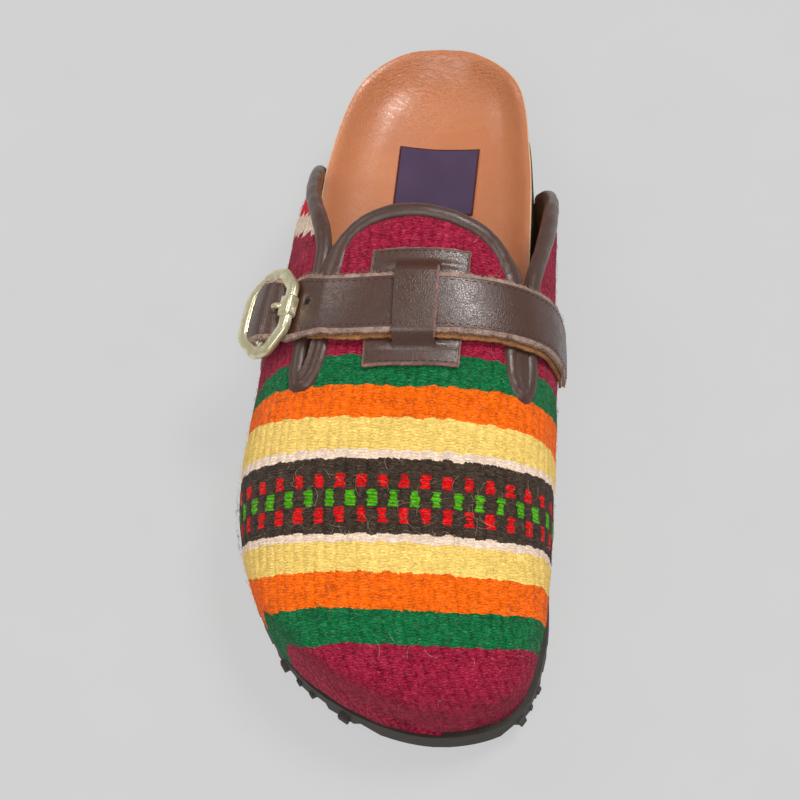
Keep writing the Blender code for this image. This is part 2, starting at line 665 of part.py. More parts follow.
def make_backing(where):
    def place(u, v, w):
        share = BACKING_START + (BACKING_END - BACKING_START) * v
        along = strap_along(share) + (u - 0.5) * BACKING_WIDTH
        return on_upper(along, share, strap_height(share) + (w + 1) * BACKING_THICK)

    return strip("strap_backing", 3, 24, place, where, "tan_leather")


def make_strap(where):
    """Over the upper down to the tail, which dips under the front bar and climbs over the centre bar."""
    share = np.linspace(STRAP_END, TAIL_START, 24)
    middle = strap_height(share) + BACKING_THICK + GAP + STRAP_THICK / 2
    rows = table(TAIL_COLUMNS, TAIL)
    tail = in_buckle(rows["a"], 0.0, rows["c"])
    edges = []
    for side in (-0.5, 0.5):
        body = on_upper(strap_along(share) + side * STRAP_WIDTH, share, middle)
        end = tail + buckle_frame_axes()[2] * side * STRAP_WIDTH
        edges.append(np.vstack([body, path_through(np.vstack([body[-1:], end]), 15)[1:]]))
    left, right = edges
    spine = (left + right) / 2
    run = np.gradient(spine, axis=0)
    out = np.cross(run, right - left)
    out /= np.linalg.norm(out, axis=1)[:, None]
    out *= np.sign(out[0].dot(np.array([1.0, 0.0, 0.5])))

    def place(u, v, w):
        row = np.rint(v * (len(left) - 1)).astype(int)
        flat = left[row] * (1 - u)[:, None] + right[row] * u[:, None]
        at = np.minimum(row, len(share) - 1)
        arch = on_upper(strap_along(share[at]) + (u - 0.5) * STRAP_WIDTH, share[at], middle[at])
        base = np.where((row < len(share))[:, None], arch, flat)
        return base + out[row] * ((w + 0.5) * STRAP_THICK)[:, None]

    return strip("strap", 3, len(left) - 1, place, where, "brown_leather")


def make_keeper(where, cutters):
    width = (KEEPER_SHARE[1] - KEEPER_SHARE[0]) * FLAT_GIRTH
    length = KEEPER_ALONG[1] - KEEPER_ALONG[0]
    bm = grid_slab(round(width / KEEPER_CELL), round(length / KEEPER_CELL))
    for vert in bm.verts:
        vert.co = (vert.co.x * width, vert.co.y * length, vert.co.z * KEEPER_THICK)
    slit_low, slit_high = (value - KEEPER_ALONG[0] for value in KEEPER_SLIT_ALONG)
    slits = []
    for edge, away in zip(KEEPER_BAND, (-1, 1)):
        near = (edge - KEEPER_SHARE[0]) * FLAT_GIRTH
        xs = sorted((near, near + away * KEEPER_SLIT))
        slits.append([(xs[0], slit_low), (xs[1], slit_low), (xs[1], slit_high), (xs[0], slit_high)])
    cut = cut_flat(bm, slits, cutters)

    def place(u, v, w):
        share = KEEPER_SHARE[0] + u / FLAT_GIRTH
        along = KEEPER_ALONG[0] + v
        band = (share > KEEPER_BAND[0] - 1e-4) & (share < KEEPER_BAND[1] + 1e-4)
        ends = np.minimum(along - KEEPER_SLIT_ALONG[0], KEEPER_SLIT_ALONG[1] - along)
        climb = np.clip(ends / BAND_RAMP, 0.0, 1.0)
        climb = climb * climb * (3 - 2 * climb)
        height = KEEPER_HEIGHT + np.where(band, climb, 0.0) * (BAND_HEIGHT - KEEPER_HEIGHT)
        return on_upper(along, share, height + KEEPER_THICK + w)

    return add_object("keeper", placed_mesh("keeper", cut, place), where, "brown_leather")


def octagon(length, width, corner):
    """A rectangle with cut corners, about the middle of the buckle."""
    a, b = length / 2, width / 2
    return [(-a, -b + corner), (-a + corner, -b), (a - corner, -b), (a, -b + corner),
            (a, b - corner), (a - corner, b), (-a + corner, b), (-a, b - corner)]


def buckle_matrix():
    origin, a, b, c = buckle_frame_axes()
    turn = Matrix([[a[i], b[i], c[i], 0.0] for i in range(3)] + [[0.0, 0.0, 0.0, 1.0]])
    return Matrix.Translation(Vector(scaled(origin))) @ turn @ Matrix.Scale(MM, 4)


def bevelled(mesh, width):
    bm = bmesh.new()
    bm.from_mesh(mesh)
    bmesh.ops.bevel(bm, geom=bm.edges[:], offset=width, segments=2, profile=0.5, affect="EDGES")
    bm.to_mesh(mesh)
    bm.free()
    return mesh


def local_box(name, low, high):
    corners = [(low[0], low[1]), (high[0], low[1]), (high[0], high[1]), (low[0], high[1])]
    return prism_mesh(name, corners, low[2], high[2])


def make_buckle_frame(where, cutters):
    middle = BUCKLE_LENGTH / 2
    half = BAR_THICK / 2
    loops = []
    for grow, corner in ((BAR_WIDE, OUTER_CORNER), (-BAR_WIDE, INNER_CORNER)):
        loop = octagon(BUCKLE_LENGTH + grow, BUCKLE_WIDTH + grow, corner)
        loops.append([(a + middle, b) for a, b in loop])
    bm = bmesh.new()
    rings = [[bm.verts.new((a, b, -half)) for a, b in loop] for loop in loops]
    for i in range(8):
        j = (i + 1) % 8
        bm.faces.new((rings[0][i], rings[0][j], rings[1][j], rings[1][i]))
    raised = bmesh.ops.extrude_face_region(bm, geom=bm.faces[:])
    tops = [item for item in raised["geom"] if isinstance(item, bmesh.types.BMVert)]
    bmesh.ops.translate(bm, vec=(0.0, 0.0, BAR_THICK), verts=tops)
    bmesh.ops.recalc_face_normals(bm, faces=bm.faces)
    sharp = [edge for edge in bm.edges if abs(edge.verts[0].co.z - edge.verts[1].co.z) < 1e-6
             and len(edge.link_faces) == 2 and edge.calc_face_angle() > 1.0]
    bmesh.ops.bevel(bm, geom=sharp, offset=BAR_BEVEL, segments=2, profile=0.5, affect="EDGES")
    mesh = bpy.data.meshes.new("buckle_frame")
    bm.to_mesh(mesh)
    bm.free()
    matrix = buckle_matrix()
    mesh.transform(matrix)
    frame = add_object("buckle_frame", mesh, where, "brass")

    bar = bmesh.new()
    across_frame = Matrix.Translation((middle, 0.0, 0.0)) @ Matrix.Rotation(np.pi / 2, 4, "X")
    radius = CENTRE_BAR_RADIUS
    bmesh.ops.create_cone(bar, cap_ends=True, segments=12, radius1=radius, radius2=radius, depth=BUCKLE_WIDTH,
                          matrix=across_frame)
    bar_mesh = bpy.data.meshes.new("centre_bar")
    bar.to_mesh(bar_mesh)
    bar.free()
    bar_mesh.transform(matrix)
    boolean(frame, as_cutter("centre_bar", bar_mesh, cutters), "UNION")

    low = (-SLEEVE_WIDE / 2, -SLEEVE_LENGTH / 2, SLEEVE_LOW)
    high = (SLEEVE_WIDE / 2, SLEEVE_LENGTH / 2, SLEEVE_HIGH)
    sleeve = bevelled(local_box("bar_sleeve", low, high), SLEEVE_BEVEL)
    sleeve.transform(matrix)
    boolean(frame, as_cutter("bar_sleeve", sleeve, cutters), "UNION")
    return frame


def make_prong(where):
    rows = table(PRONG_COLUMNS, PRONG)
    points = path_through(in_buckle(rows["a"], 0.0, rows["c"]), 12)
    return tube("buckle_prong", points, PRONG_RADIUS, where, "brass")


def make_chape(where):
    rows = table(CHAPE_COLUMNS, CHAPE)

    def place(u, v, w):
        at = v * (len(CHAPE) - 1)
        share = np.interp(at, np.arange(len(CHAPE)), rows["share"])
        height = np.interp(at, np.arange(len(CHAPE)), rows["height"])
        along = BUCKLE_ALONG + (u - 0.5) * CHAPE_WIDTH
        return on_upper(along, share, height + (w + 1) * CHAPE_THICK)

    return strip("buckle_chape", 3, 3 * (len(CHAPE) - 1), place, where, "brown_leather")


def rod_cutter(name, start, end, radius, where):
    start, end = (Vector(scaled(point)) for point in (start, end))
    axis = end - start
    bm = bmesh.new()
    turn = axis.to_track_quat("Z", "Y").to_matrix().to_4x4()
    bmesh.ops.create_cone(bm, cap_ends=True, segments=16, radius1=radius * MM, radius2=radius * MM,
                          depth=axis.length, matrix=Matrix.Translation((start + end) / 2) @ turn)
    mesh = bpy.data.meshes.new(name)
    bm.to_mesh(mesh)
    bm.free()
    return as_cutter(name, mesh, where)


def main():
    for old in list(bpy.data.objects):
        bpy.data.objects.remove(old)
    parts, cutters = collection(NAME), collection("cutters")
    make_outsole(parts)
    make_midsole(parts)
    make_insole(parts)
    make_label(parts)
    make_upper(parts, cutters)
    make_binding(parts)
    make_backing(parts)
    strap = make_strap(parts)
    make_keeper(parts, cutters)
    make_buckle_frame(parts, cutters)
    make_prong(parts)
    make_chape(parts)
    hole_start, hole_end = (on_upper(HOLE_ALONG, HOLE_SHARE, height) for height in (0.0, MARGIN))
    boolean(strap, rod_cutter("strap_hole", hole_start, hole_end, HOLE_RADIUS, cutters), "DIFFERENCE")
    prong_start, prong_end = (in_buckle(a, 0.0, c) for a, c in PRONG_HOLE_ENDS)
    boolean(strap, rod_cutter("prong_hole", prong_start, prong_end, PRONG_HOLE, cutters), "DIFFERENCE")


main()
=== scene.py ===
# %% [markdown]
# # A woven clog, piece by piece
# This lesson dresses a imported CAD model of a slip-on clog: a striped, flat-woven wool upper with a rolled leather
# edge, an instep strap with a brass buckle, a leather insole on cork, and a rubber sole. The CAD model gives every
# place and size. Each visible piece is then made again here with more detail and with its own finish.

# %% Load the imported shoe
import math
import random

import bmesh
import bpy
import numpy as np
from mathutils import Matrix, Quaternion, Vector


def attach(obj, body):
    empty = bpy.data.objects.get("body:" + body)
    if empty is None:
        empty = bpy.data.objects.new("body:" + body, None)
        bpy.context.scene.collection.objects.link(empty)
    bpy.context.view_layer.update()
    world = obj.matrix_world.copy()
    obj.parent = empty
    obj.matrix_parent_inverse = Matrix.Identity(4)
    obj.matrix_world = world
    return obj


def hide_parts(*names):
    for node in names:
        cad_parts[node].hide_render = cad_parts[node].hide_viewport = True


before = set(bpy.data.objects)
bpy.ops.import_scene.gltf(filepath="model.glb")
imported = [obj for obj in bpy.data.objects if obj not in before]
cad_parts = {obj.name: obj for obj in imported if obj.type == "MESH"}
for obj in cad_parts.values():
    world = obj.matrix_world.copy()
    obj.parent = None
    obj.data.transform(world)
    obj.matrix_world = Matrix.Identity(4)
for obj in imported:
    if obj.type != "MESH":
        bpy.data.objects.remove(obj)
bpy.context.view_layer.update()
scene = bpy.context.scene

# %% [markdown]
# ## Camera, light and floor
# The picture was taken from above the toe, through a long lens, with the shoe left of the middle. Here the shoe is
# in the middle, so the camera keeps its place and only turns towards the shoe, by the smallest turn that brings it
# there. A long lens makes the shoe as tall in the frame as it is in the picture.

# %% Camera
MM = 0.001
CAMERA_PLACE = Vector((0.05997, -0.57646, 0.89268))
CAMERA_TILT = math.radians(33.0)
LOOK_OFFSET = Vector((-0.05975, 0.00064, -1.0))   # where the shoe lies for the camera before the turn
LENS = 127.0

camera = bpy.data.objects.new("camera", bpy.data.cameras.new("camera"))
scene.collection.objects.link(camera)
camera.data.lens = LENS
camera.data.clip_start = 0.05
straight = Quaternion((1.0, 0.0, 0.0), CAMERA_TILT)
turn = (straight @ Vector((0.0, 0.0, -1.0))).rotation_difference(straight @ LOOK_OFFSET)
camera.rotation_mode = "QUATERNION"
camera.rotation_quaternion = turn @ straight
camera.location = CAMERA_PLACE
scene.camera = camera
print("camera turned by", round(math.degrees(turn.angle), 2), "degrees")

# %% [markdown]
# The light is a dim white room with three soft lamps. The main one hangs high over the shoe's inner side, where
# the gloss on the strap says it was. A weak one stands behind the buckle, and one in front fills the toe. They are
# far off, so that the light is even. A standard view transform keeps the dyed wool as bright as it is.

# %% Light and floor
WHITE = (1.0, 1.0, 1.0, 1.0)
ROOM_LIGHT, LAMP_AIM = 0.26, Vector((0.0, 0.0, 0.03))
LAMPS = {   # place, side of the square lamp, power
    "key_lamp": ((1.83, 1.06, 3.97), 1.5, 120.0),
    "left_lamp": ((-2.98, 1.72, 2.89), 1.6, 28.0),
    "front_lamp": ((-0.60, -2.20, 3.00), 2.4, 60.0),
}

scene.view_settings.view_transform = "Standard"
world = bpy.data.worlds.new("studio")
scene.world = world
world.use_nodes = True
room = world.node_tree.nodes["Background"]
room.inputs["Color"].default_value = WHITE
room.inputs["Strength"].default_value = ROOM_LIGHT
for name, (place, side, power) in LAMPS.items():
    lamp = bpy.data.lights.new(name, "AREA")
    lamp.size = side
    lamp.energy = power
    holder = bpy.data.objects.new(name, lamp)
    scene.collection.objects.link(holder)
    holder.location = place
    holder.rotation_mode = "QUATERNION"
    holder.rotation_quaternion = (LAMP_AIM - Vector(place)).to_track_quat("-Z", "Y")
print("lamps:", list(LAMPS))

# %% [markdown]
# ## The shapes that all pieces share
# The CAD source works out the shoe from short tables in millimetres: the footbed's outline, the heights along
# the sole, and the sections of the upper from the toe to the heel. The same functions are used here, so that all
# dressed pieces share one surface. A few rows of the tables differ a little, to be nearer to the picture.

# %% Tables of the shoe
ORIGIN = np.array([0.85, -0.9, 0.0])
GAP, WALL, FEATHER_GAP = 0.3, 2.6, 0.5
INSOLE_THICK, BEAD_RADIUS = 1.6, 2.7

FOOTBED = np.array([   # x, y from the toe tip round the big toe side
    (17.0, -141.0), (39.0, -133.5), (47.0, -110.0), (49.0, -66.0), (48.6, -20.0), (46.3, 25.0), (46.2, 90.0),
    (40.2, 127.5), (25.0, 140.6), (10.5, 143.0), (-4.5, 140.4), (-19.4, 127.5), (-31.0, 90.0), (-36.8, 25.0),
    (-45.8, -20.0), (-51.2, -68.0), (-38.0, -106.0), (-11.0, -132.0)])

SOLE_COLUMNS = ("y", "spring", "thick", "floor", "outer_rise", "inner_rise", "ledge")
SOLE = (
    (-146.0, 9.5, 7.0, 26.0, 1.5, 1.5, 5.4),
    (-118.0, 3.6, 7.6, 20.5, 2.5, 2.5, 5.4),
    (-92.0, 0.5, 8.0, 17.8, 3.5, 3.5, 5.2),
    (-75.0, 0.0, 8.0, 17.2, 4.0, 4.0, 4.5),
    (-25.0, 0.0, 8.6, 18.0, 5.5, 8.0, 3.8),
    (5.0, 1.4, 8.0, 20.0, 8.0, 13.0, 3.4),
    (32.0, 2.2, 8.6, 22.0, 10.5, 14.5, 2.8),
    (60.0, 0.0, 12.4, 24.0, 12.0, 14.0, 2.2),
    (95.0, 0.0, 12.8, 25.0, 13.0, 13.5, 1.8),
    (144.0, 0.0, 12.8, 26.5, 12.5, 12.5, 1.6),
)

SECTION_COLUMNS = ("along", "foot", "crest", "rise", "outer_bulge", "inner_bulge", "bulge_rise", "ridge_x",
                   "outer_lean", "inner_lean")
SECTIONS = (
    (0.0, 0.0, 0.0, 0.0, 0.0, 0.0, 0.0, 16.0, 1.00, 1.00),
    (10.0, 4.5, -1.6, 10.0, 0.6, 0.0, 5.0, 16.0, 0.95, 0.95),
    (19.0, 11.0, -1.0, 19.0, 1.2, 0.0, 8.0, 15.5, 0.90, 0.90),
    (29.0, 20.0, 4.0, 27.5, 1.8, 0.1, 10.5, 14.0, 0.86, 0.86),
    (42.5, 32.0, 16.0, 34.0, 2.3, 0.6, 13.0, 12.0, 0.83, 0.83),
    (65.5, 49.0, 38.0, 40.0, 2.8, 1.9, 15.0, 9.0, 0.82, 0.82),
    (101.5, 75.0, 73.0, 48.0, 3.2, 3.2, 17.0, 6.0, 0.82, 0.82),
    (137.5, 108.0, 108.0, 56.5, 4.2, 4.2, 18.0, 6.0, 0.86, 0.86),
    (175.5, 145.0, 145.0, 65.0, 6.0, 6.0, 19.0, 7.0, 0.92, 0.92),
    (217.0, 186.5, 186.5, 71.0, 5.6, 6.8, 20.0, 8.0, 1.02, 0.96),
    (232.0, 201.5, 201.5, 73.0, 5.0, 6.6, 20.0, 8.0, 1.16, 0.98),
    (246.0, 215.5, 215.5, 75.0, 2.6, 5.4, 20.0, 8.0, 1.26, 1.00),
    (260.0, 229.5, 229.5, 76.0, 0.4, 3.0, 20.0, 8.0, 1.26, 1.00),
    (276.0, 245.5, 245.5, 76.0, 0.0, 0.6, 20.0, 8.0, 1.26, 1.00),
)

COLLAR = (   # share, along, height: the rolled edge from the outer rear foot round to the inner one
    (0.004, 267.0, 0.6), (0.055, 265.0, 0.6), (0.105, 260.0, -0.4), (0.154, 249.5, -1.2), (0.211, 235.0, -1.3),
    (0.261, 222.0, -1.3), (0.293, 212.0, -1.3), (0.313, 202.0, -1.3), (0.316, 188.0, -1.3), (0.303, 170.0, -1.3),
    (0.295, 155.0, -1.3), (0.295, 148.5, -1.3), (0.301, 145.0, -1.3), (0.317, 145.0, -1.3), (0.333, 148.5, -1.3),
    (0.344, 156.0, -1.3), (0.348, 172.0, -1.3), (0.349, 187.0, -1.3), (0.370, 199.5, -1.3), (0.410, 205.0, -1.3),
    (0.490, 207.0, -1.3), (0.592, 203.5, -1.3), (0.652, 198.0, -1.3), (0.690, 188.0, -1.3), (0.702, 170.0, -1.3),
    (0.704, 158.0, -1.3), (0.713, 149.5, -1.3), (0.726, 144.8, -1.3), (0.741, 142.9, -1.3), (0.752, 145.0, -1.3),
    (0.757, 152.5, -1.3), (0.747, 175.0, -1.3), (0.758, 193.5, -1.3), (0.786, 207.0, -1.3), (0.815, 219.0, -1.3),
    (0.860, 236.5, -1.2), (0.908, 248.0, -0.6), (0.950, 255.5, 0.6), (0.996, 261.0, 0.6),
)

STRAP = np.array([   # share, along, height of the strap's middle line over the upper
    (0.300, 176.5, 2.0), (0.370, 171.8, 2.0), (0.480, 170.0, 2.0), (0.560, 170.0, 2.0), (0.650, 171.0, 2.0),
    (0.740, 173.0, 2.0), (0.775, 174.0, 1.8), (0.830, 175.5, 0.6), (0.920, 178.5, 0.5)])

FLAT_GIRTH = 202.0
GRID_ALONG, GRID_ROUND, SMOOTH_PASSES = 138, 181, 14
FOOT_SHARE, CREST_SHARE, BULGE_LIMIT = 0.05, 0.52, 0.55
RIM_REACH, BOWL_REACH, RIM_TURN, LIP_REACH, LIP_DROP = 18.0, 40.0, 30.0, 3.0, 1.3
print(len(SECTIONS), "sections of the upper,", len(SOLE), "rows of the sole")

# %% [markdown]
# Smooth curves through the table rows come first. A cubic with the right slope at each row gives a line with no
# corners, whether it carries one value along the sole or a path through points.

# %% Curves through the tables
def smooth(knots, values, at):
    at = np.clip(np.asarray(at, float), knots[0], knots[-1])
    slopes = np.gradient(values, knots)
    i = np.clip(np.searchsorted(knots, at, side="right") - 1, 0, len(knots) - 2)
    span = knots[i + 1] - knots[i]
    u = (at - knots[i]) / span
    bend = u * (1 - u) ** 2 * slopes[i] + u * u * (u - 1) * slopes[i + 1]
    return (1 + 2 * u) * (1 - u) ** 2 * values[i] + u * u * (3 - 2 * u) * values[i + 1] + span * bend


def run_along(points, power=1.0):
    """How far along a path each of its points lies."""
    return np.r_[0.0, np.cumsum(np.linalg.norm(np.diff(points, axis=0), axis=1) ** power)]


def resampled(points, run, at):
    """Points of a path at other distances along it."""
    return np.stack([np.interp(at, run, column) for column in points.T], axis=1)


def unit(vectors):
    return vectors / np.linalg.norm(vectors, axis=-1, keepdims=True)


def path_through(points, count):
    points = np.array(points, float)
    chord = run_along(points, 0.5)
    at = np.linspace(0.0, chord[-1], count)
    return np.stack([smooth(chord, column, at) for column in points.T], axis=1)


def closed_outline(points, count):
    lap = np.vstack([points[-3:], points, points[:4]])
    chord = run_along(lap, 0.5)
    at = np.linspace(chord[3], chord[3 + len(points)], count, endpoint=False)
    return np.stack([smooth(chord, column, at) for column in lap.T], axis=1)


def grown(outline, distance):
    along = unit(np.roll(outline, -1, axis=0) - np.roll(outline, 1, axis=0))
    return outline + np.stack([along[:, 1], -along[:, 0]], axis=1) * np.reshape(distance, (-1, 1))


def two_sides(outline):
    toe, heel = outline[:, 1].argmin(), outline[:, 1].argmax()
    turned = np.roll(outline, -toe, axis=0)
    split = (heel - toe) % len(outline)
    return np.vstack([turned[split:], turned[:1]])[::-1], turned[: split + 1]


def across(sides, y, u):
    outer = np.interp(y, sides[0][:, 1], sides[0][:, 0])
    inner = np.interp(y, sides[1][:, 1], sides[1][:, 0])
    return outer + (inner - outer) * u


SOLE_TABLE = dict(zip(SOLE_COLUMNS, np.array(SOLE).T))
SECTION_TABLE = dict(zip(SECTION_COLUMNS, np.array(SECTIONS).T))
FOOTBED_OUTLINE, FINE_OUTLINE = closed_outline(FOOTBED, 720), closed_outline(FOOTBED, 2400)
FEATHER_OUTLINE = grown(FOOTBED_OUTLINE, FEATHER_GAP + WALL)
print("footbed", np.ptp(FOOTBED_OUTLINE, axis=0).round(1), "mm")

# %% [markdown]
# The sole's heights and the bowl of the footbed follow from the tables. The bowl rises towards the edge, more on
# the arch side, and ends in a rounded lip.

# %% Heights of the sole and the footbed
def sole_value(name, y):
    return smooth(SOLE_TABLE["y"], SOLE_TABLE[name], y)


def underside(y):
    return np.maximum(sole_value("spring", y), 0.0)


def outsole_top(y):
    return underside(y) + sole_value("thick", y)


def clipped(value):
    return np.clip(value, 0.0, 1.0)


def edge_distance(x, y):
    spots = np.stack([x, y], axis=-1)
    return np.array([np.linalg.norm(FINE_OUTLINE - spot, axis=1).min() for spot in spots])


def footbed_height(x, y):
    inside = edge_distance(x, y)
    side = np.clip((x - across(two_sides(FOOTBED_OUTLINE), y, 0.5)) / RIM_TURN, -1.0, 1.0) * 0.5 + 0.5
    rise = sole_value("outer_rise", y) * (1 - side) + sole_value("inner_rise", y) * side
    bowl = sum(clipped(1 - inside / reach) ** 2 for reach in (RIM_REACH, BOWL_REACH)) / 2
    lip = clipped(1 - inside / LIP_REACH) ** 2
    return sole_value("floor", y) + rise * bowl - LIP_DROP * lip


print("insole at the heel", footbed_height(np.array([10.0]), np.array([90.0])).round(1), "mm over the floor")

# %% [markdown]
# The upper is a stack of sections, each an arch from the outer foot over the crest to the inner foot. Laying them
# side by side gives a grid of points. After that, any place on the upper has an address: how far it is from the
# toe, its share of the way round, and its height over the surface. Every leather piece on the upper uses it too.

# %% The upper's surface
def front_edge(x, bulge):
    edge = grown(FEATHER_OUTLINE, bulge)
    outer, inner = (side[: np.abs(side[:, 0] - side[0, 0]).argmax()] for side in two_sides(edge))
    front = np.vstack([outer[::-1], inner[1:]])
    return np.interp(x, np.maximum.accumulate(front[:, 0]), front[:, 1])


def upper_section(along):
    row = {name: float(smooth(SECTION_TABLE["along"], values, along)) for name, values in SECTION_TABLE.items()}
    toe_y = FEATHER_OUTLINE[:, 1].min()
    foot_y = toe_y + max(row["foot"], 0.0)
    base = float(outsole_top(foot_y)) + GAP
    top = base + max(row["rise"], 0.0)
    widest = base + min(row["bulge_rise"], BULGE_LIMIT * (top - base))
    feet = [float(across(two_sides(FEATHER_OUTLINE), foot_y, side)) for side in (0.0, 1.0)]
    ridge = min(max(row["ridge_x"], feet[0]), feet[1])
    low = np.linspace(0.0, np.pi / 2, 40)
    high = low[1:]
    halves = []
    swells, leans = (-row["outer_bulge"], row["inner_bulge"]), (row["outer_lean"], row["inner_lean"])
    for foot, swell, lean in zip(feet, swells, leans):
        wide, tall = np.cos(high) ** lean, np.sin(high) ** lean
        x = np.r_[foot + swell * np.sin(low), ridge + (foot + swell - ridge) * wide]
        z = np.r_[base + (widest - base) * low / low[-1], widest + (top - widest) * tall]
        halves.append(np.stack([x, z], axis=1))
    outline = np.vstack([halves[0], halves[1][-2::-1]])
    lift = (outline[:, 1] - base) / max(top - base, 1e-9)
    y = foot_y + (toe_y + row["crest"] - foot_y) * lift
    y = np.maximum(y, np.minimum(front_edge(outline[:, 0], row["outer_bulge"]), foot_y))
    points = np.stack([outline[:, 0], y, outline[:, 1]], axis=1)
    run = run_along(points)
    return resampled(points, run, np.linspace(0.0, run[-1], GRID_ROUND))


LENGTH = SECTION_TABLE["along"][-1]
UPPER = np.array([upper_section(along) for along in np.linspace(0.0, LENGTH, GRID_ALONG)])
for _ in range(SMOOTH_PASSES):
    beside = UPPER[3:-1, :-2] + UPPER[3:-1, 2:]
    UPPER[3:-1, 1:-1] = (UPPER[2:-2, 1:-1] + UPPER[4:, 1:-1] + beside) / 4
NORMALS = np.cross(np.gradient(UPPER, axis=1), np.gradient(UPPER, axis=0))
NORMALS[0] = NORMALS[2]
shares = np.linspace(0.0, 1.0, GRID_ROUND)
NORMALS[..., 2] *= clipped(np.minimum(shares, 1 - shares) / FOOT_SHARE)
NORMALS = unit(NORMALS)
# Distance round each section, counted from the crest, for the ribs of the weave.
steps = np.linalg.norm(np.diff(UPPER, axis=1), axis=2)
ROUND = np.concatenate([np.zeros((GRID_ALONG, 1)), np.cumsum(steps, axis=1)], axis=1)
CREST = np.array([np.interp(CREST_SHARE, shares, row) for row in ROUND])
ROUND = (ROUND - CREST[:, None])[..., None]


def sampled(grid, along, share):
    row = clipped(along / LENGTH) * (GRID_ALONG - 1)
    column = clipped(share) * (GRID_ROUND - 1)
    i = np.minimum(row.astype(int), GRID_ALONG - 2)
    j = np.minimum(column.astype(int), GRID_ROUND - 2)
    f, g = (row - i)[..., None], (column - j)[..., None]
    near = grid[i, j] * (1 - g) + grid[i, j + 1] * g
    far = grid[i + 1, j] * (1 - g) + grid[i + 1, j + 1] * g
    return near * (1 - f) + far * f


def on_upper(along, share, height):
    along, share, height = np.broadcast_arrays(*(np.asarray(v, float) for v in (along, share, height)))
    normal = unit(sampled(NORMALS, along, share))
    return sampled(UPPER, along, share) + normal * height[..., None]


print("girth at the instep", round(float(np.ptp(ROUND[90])), 1), "mm")

# %% [markdown]
# ## Tools for making a piece
# Most pieces start as a flat grid from `create_grid`, get a thickness by extruding it, and are then bent into
# place by moving their points with one function. That is how a maker cuts a flat pattern and lasts it over a form.

# %% Grids, slabs and finished pieces
SHARP, CORNER_ANGLE = 0.8, 0.9    # folds sharper than these, in radians, stay an edge, or are bevelled


def scaled(points):
    return (np.asarray(points, float) - ORIGIN) * MM


def flat_grid(columns, rows):
    bm = bmesh.new()
    bmesh.ops.create_grid(bm, x_segments=columns, y_segments=rows, size=0.5)
    bmesh.ops.translate(bm, vec=(0.5, 0.5, 0.0), verts=bm.verts)
    return bm


def thickened(bm):
    """Extrudes the flat pattern from 0 down to -1; its side walls get the second material."""
    made = bmesh.ops.extrude_face_region(bm, geom=bm.faces[:])
    lower = [item for item in made["geom"] if isinstance(item, bmesh.types.BMVert)]
    bmesh.ops.translate(bm, vec=(0.0, 0.0, -1.0), verts=lower)
    for face in bm.faces:
        levels = [vert.co.z for vert in face.verts]
        face.material_index = int(max(levels) - min(levels) > 0.5)
    return bm


def moved(bm, place):
    spots = np.array([vert.co[:] for vert in bm.verts])
    for vert, co in zip(bm.verts, scaled(place(*spots.T))):
        vert.co = co
    return bm


def on_shoe(name, mesh, stands_for=()):
    """Hangs a finished mesh on the shoe and hides the CAD nodes that it stands for."""
    made = bpy.data.objects.new(name, mesh)
    scene.collection.objects.link(made)
    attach(made, "root")
    if stands_for:
        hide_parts(*stands_for)
    print(name, len(mesh.polygons), "faces")


def piece(name, bm, finishes, stands_for=(), merge=0.004, bevel=0.0):
    """Closes the mesh, turns its faces outwards and hangs it on the shoe."""
    bmesh.ops.remove_doubles(bm, verts=bm.verts, dist=merge * MM)
    bmesh.ops.recalc_face_normals(bm, faces=bm.faces)
    if bevel:
        sharp = [edge for edge in bm.edges if len(edge.link_faces) == 2 and edge.calc_face_angle() > CORNER_ANGLE]
        bmesh.ops.bevel(bm, geom=sharp, offset=bevel * MM, segments=2, profile=0.5, affect="EDGES", material=-1)
    for face in bm.faces:
        face.smooth = True
    for edge in bm.edges:
        edge.smooth = len(edge.link_faces) == 2 and edge.calc_face_angle() < SHARP
    mesh = bpy.data.meshes.new(name)
    bm.to_mesh(mesh)
    bm.free()
    for finish in finishes:
        mesh.materials.append(finish)
    on_shoe(name, mesh, stands_for)


# %% [markdown]
# Round things, such as the rolled edge, the prong and the stitches, are tubes: a grid whose columns go round a
# small circle and whose rows follow a path. The ends are closed with `holes_fill`.

# %% Tubes
TUBE_SIDES = 24


def frames_along(path, up):
    """Two directions square to a path at each of its points, the second on the side of up."""
    run = unit(np.gradient(path, axis=0))
    side = unit(np.cross(run, np.broadcast_to(up, path.shape)))
    return side, np.cross(side, run)


def tube(path, profile, up):
    """profile(turn, way) gives how far out a point is, sideways and upwards, for turn and way from 0 to 1."""
    side, out = frames_along(path, up)
    count = len(path) - 1
    bm = flat_grid(TUBE_SIDES, count)

    def place(u, v, w):
        row = np.rint(v * count).astype(int)
        a, b = profile(u, v)
        return path[row] + side[row] * a[:, None] + out[row] * b[:, None]

    moved(bm, place)
    bmesh.ops.remove_doubles(bm, verts=bm.verts, dist=0.002 * MM)
    bmesh.ops.holes_fill(bm, edges=[edge for edge in bm.edges if edge.is_boundary], sides=0)
    return bm


# %% [markdown]
# ## Finishes as Python sums
# A finish is a node tree. Writing each Math node by hand is slow to read, so one small class wraps a socket: sums
# and products of sockets add the nodes that they need, and `node` adds any other kind.

